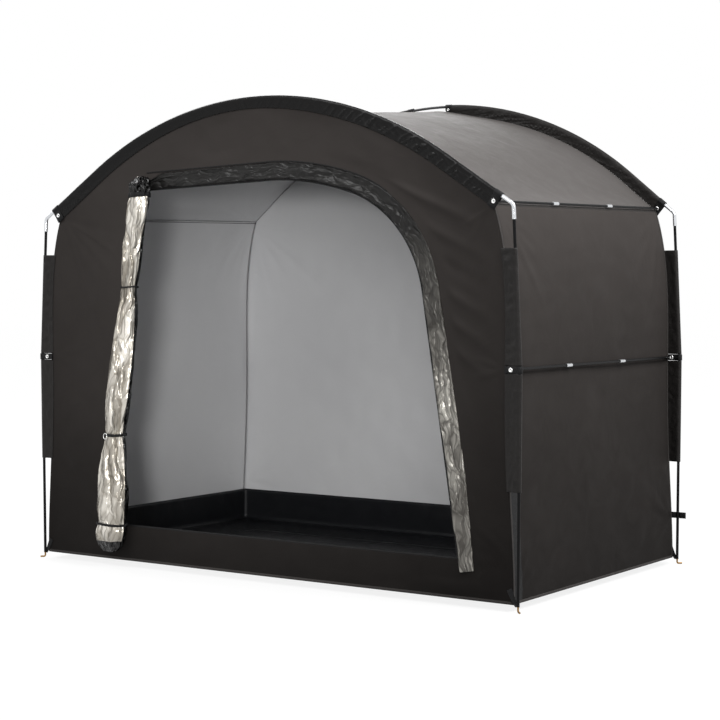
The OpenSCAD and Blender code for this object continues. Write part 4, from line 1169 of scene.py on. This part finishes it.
clips = {"thick": 0.0020, "inner": 0.0012,
         "near": [(-1, 0.0046), (-0.8, 0.0046), (-0.55, 0.0044), (-0.36, 0.0052)],  # share of reach, height
         "shoulder": {"round": 0.0086, "reach": 0.049, "width": 0.030, "rivetIn": 0.0275},
         "waist": {"round": 0.0080, "reach": 0.052, "width": 0.022, "rivetIn": 0.029},
         "crown": {"round": 0.0076, "reach": 0.034, "width": 0.026, "rivetIn": 0.0115,
                   "places": (-0.1385, 0.036)},
         "rivetR": 0.0075, "rivetOut": 0.0066, "crownRivetR": 0.0055, "crownRivetOut": 0.0064,
         "ring": [(0.44, -0.001), (0.98, -0.001), (1, 0.0004), (0.93, 0.0016), (0.75, 0.0022),
                  (0.56, 0.0017), (0.46, 0.0006)],  # radius as a share of the rivet's, height
         "centre": [(0, -0.0008), (0.47, -0.0008), (0.47, 0.0003), (0.2, 0.0007), (0, 0.0008)]}


def clipPart(place, outward, back, look):
    # a strap in on the outer face, round the pole and back on the inner face; place is the pole's
    # centre, outward the direction from the wall to the pole, in x and z
    a, reach = np.linspace(math.radians(140), math.radians(-140), 28), look["reach"]
    near = np.array(clips["near"]) * (reach, 1)
    far = near[::-1] * (1, -1)
    far[:, 1] = np.where(far[:, 0] < -reach * 0.5, clips["inner"], far[:, 1])
    bow = stacked(look["round"] * np.cos(a), look["round"] * np.sin(a))
    flat = np.concatenate([near, bow, far])  # distance out from the pole, distance outwards of the tent
    u = np.array([outward[0], 0.0, outward[1]])
    path = place + flat[:, :1] * u + flat[:, 1:] * np.array([0.0, back, 0.0])
    return sweepPart(path, np.cross(u, (0.0, 1.0, 0.0)), strapSection(look["width"], clips["thick"]))


def rivetPair(place, outward, inwards, radius, stand):
    # on both faces of a clip, a rolled eyelet ring round a dark pressed centre
    parts, least = [], 0.0002
    for face in (1, -1):
        spot = (place[0] - outward[0] * inwards, place[1] + face * stand, place[2] - outward[1] * inwards)
        for key, material in (("ring", 0), ("centre", 1)):
            profile = [(max(r * radius, least), height) for r, height in clips[key]]
            parts.append(lathePart(spot, (0.0, float(face), 0.0), profile, material))
    return parts


def makeClips(look):
    # at each shoulder square to the arch, at each waist level, two at the rear crown
    parts, rivets, spots = {"shoulder": [], "waist": [], "crown": []}, [], []
    for side in (-1, 1):
        for e in (front, rear):
            x, z = onArch(e, np.array(archEnd(e, tent["clipAt"])), 0.0)
            u, leg = (side * math.sin(e["turn"]), math.cos(e["turn"])), float(legX(e, tent["waistZ"]))
            spots += [("shoulder", side * float(x), float(z), u, e["back"]),
                      ("waist", side * leg, tent["waistZ"], (side, 0), e["back"])]
    for x in look["crown"]["places"]:
        a = math.asin(x / rear["radius"])
        u = (math.sin(a), math.cos(a))
        spots.append(("crown", u[0] * rear["radius"], u[1] * rear["radius"] + rear["centreZ"], u, 1))
    for kind, x, z, u, back in spots:
        place = np.array([x, back * tent["frameY"], z])
        parts[kind].append(clipPart(place, u, back, look[kind]))
        small = kind == "crown"
        rivets += rivetPair(place, u, look[kind]["rivetIn"], look["crownRivetR" if small else "rivetR"],
                            look["crownRivetOut" if small else "rivetOut"])
    for kind in parts:
        makePiece(kind + "Clips", parts[kind], [webbing], [kind + "_clips"])
    makePiece("clipRivets", rivets, [rivetMetal, webbing], ["clip_rivets"])


straps = {"thick": 0.0018, "width": 0.020, "narrowed": 0.45, "loopR": 0.0048, "loopZ": 0.0185,
          "line": [(0.972, 0.070), (0.980, 0.052), (0.989, 0.034), (0.996, 0.022), (0.9985, 0.0187)],
          "stand": 0.0014, "tabZ": 0.177, "tabWidth": 0.022, "tabR": 0.0065,
          "tabStart": [(0, 0.0012), (0.012, 0.0014)], "tabTurn": [(-0.011, 0.0016)],
          "tabEnd": [(0.012, 0.0006), (0.022, 0.0012), (0.031, 0.0004)]}


def makeStraps(look):
    # corner straps run from the wall's corner down to a loop on the foot pin;
    # tabs run round the rear legs and stand out past them
    corner, tabs, up = [], [], (0.0, 0.0, 1.0)
    t, a = np.linspace(0, 1, 24), np.linspace(0, 2 * np.pi, 26)
    x, z = readAt(np.array(look["line"]), np.linspace(0, 1, len(look["line"])), t).T
    for side in (-1, 1):
        for back in (-1, 1):
            path = stacked(side * x, back * (tent["wallY"] + look["stand"]), z)
            corner.append(taperPart(path, (side, 0.0, 0.6), strapSection(look["width"], look["thick"]),
                                    1 - (1 - look["narrowed"]) * t))
            ring = stacked(side * (tent["footX"] + look["loopR"] * np.cos(a)),
                           back * (tent["frameY"] + look["loopR"] * np.sin(a)), look["loopZ"])
            corner.append(sweepPart(ring, up, strapSection(0.0010, look["thick"])))
        leg, wallY, poleY = float(legX(rear, look["tabZ"])), tent["wallY"], tent["frameY"]
        inner = float(np.polyval(rearEdge, look["tabZ"])) - tent["lap"]
        bend = np.linspace(math.radians(150), math.radians(8), 16)
        bow = stacked(leg + look["tabR"] * np.cos(bend), poleY + look["tabR"] * np.sin(bend))
        line = np.concatenate([np.array(look["tabStart"]) + (inner, wallY),
                               np.array(look["tabTurn"]) + (leg, wallY), bow,
                               np.array(look["tabEnd"]) + (leg, poleY)])
        tabs.append(sweepPart(stacked(side * line[:, 0], line[:, 1], look["tabZ"]), up,
                              strapSection(look["tabWidth"], look["thick"])))
    makePiece("cornerStraps", corner, [webbing], ["corner_straps"])
    makePiece("rearLegTabs", tabs, [webbing], ["rear_leg_tabs"])


makeClips(clips)
makeStraps(straps)
print("clips and straps made")

# seam tapes

tape = {"width": 0.009, "thick": 0.0010, "stand": 0.0007, "in": 0.0042, "out": 0.0006, "hemZ": 0.027,
        "below": 0.004, "short": 0.001, "steps": 120}


def makeSeamTapes(look):
    # narrow bindings along the corners, the roof's lower edges and the hem
    section, steps, hem = strapSection(look["width"], look["thick"]), look["steps"], look["hemZ"]
    y, parts, up = np.linspace(-tent["wallInY"], tent["wallInY"], steps), [], (0.0, 0.0, 1.0)
    (fx, fz), (rx, rz) = (seam(e, np.array(1.0)) for e in (front, rear))
    share = (y / tent["wallInY"] + 1) / 2
    for side in (-1, 1):
        for e, edge, top in ((front, frontEdge, frontShoulder), (rear, rearEdge, rearShoulder)):
            z = np.linspace(tent["hemZ"], top, steps)
            path = stacked(side * (np.polyval(edge, z) + look["out"]),
                           e["back"] * (tent["wallY"] - look["in"]), z)
            parts.append(sweepPart(path, (0.0, 1.0, 0.0), section))
        for path in (stacked(side * (fx + (rx - fx) * share + 2 * look["out"]), y,
                             fz + (rz - fz) * share - look["below"]),
                     stacked(side * (np.polyval(frontEdge, hem) + look["out"]), y, hem)):
            parts.append(sweepPart(path, up, section))
    for back, edge in ((-1, frontEdge), (1, rearEdge)):
        x = np.linspace(-1, 1, steps) * (np.polyval(edge, hem) - look["short"])
        parts.append(sweepPart(stacked(x, back * (tent["wallY"] + look["stand"]), hem), up, section))
    makePiece("seamTapes", parts, [bindingTape])


makeSeamTapes(tape)

# tubes and pins keep their solids and get their finish

finishes = {"arch_pole": greyCoat, "_leg": blackCoat, "_elbow": brightTube, "_strut": blackCoat,
            "_ferrules": brightTube, "foot_pins": brassPin}
for name, node in nodes.items():
    for ending, finish in finishes.items():
        if name.endswith(ending):
            for materialSlot in node.material_slots:
                materialSlot.material = finish
print("tubes finished")
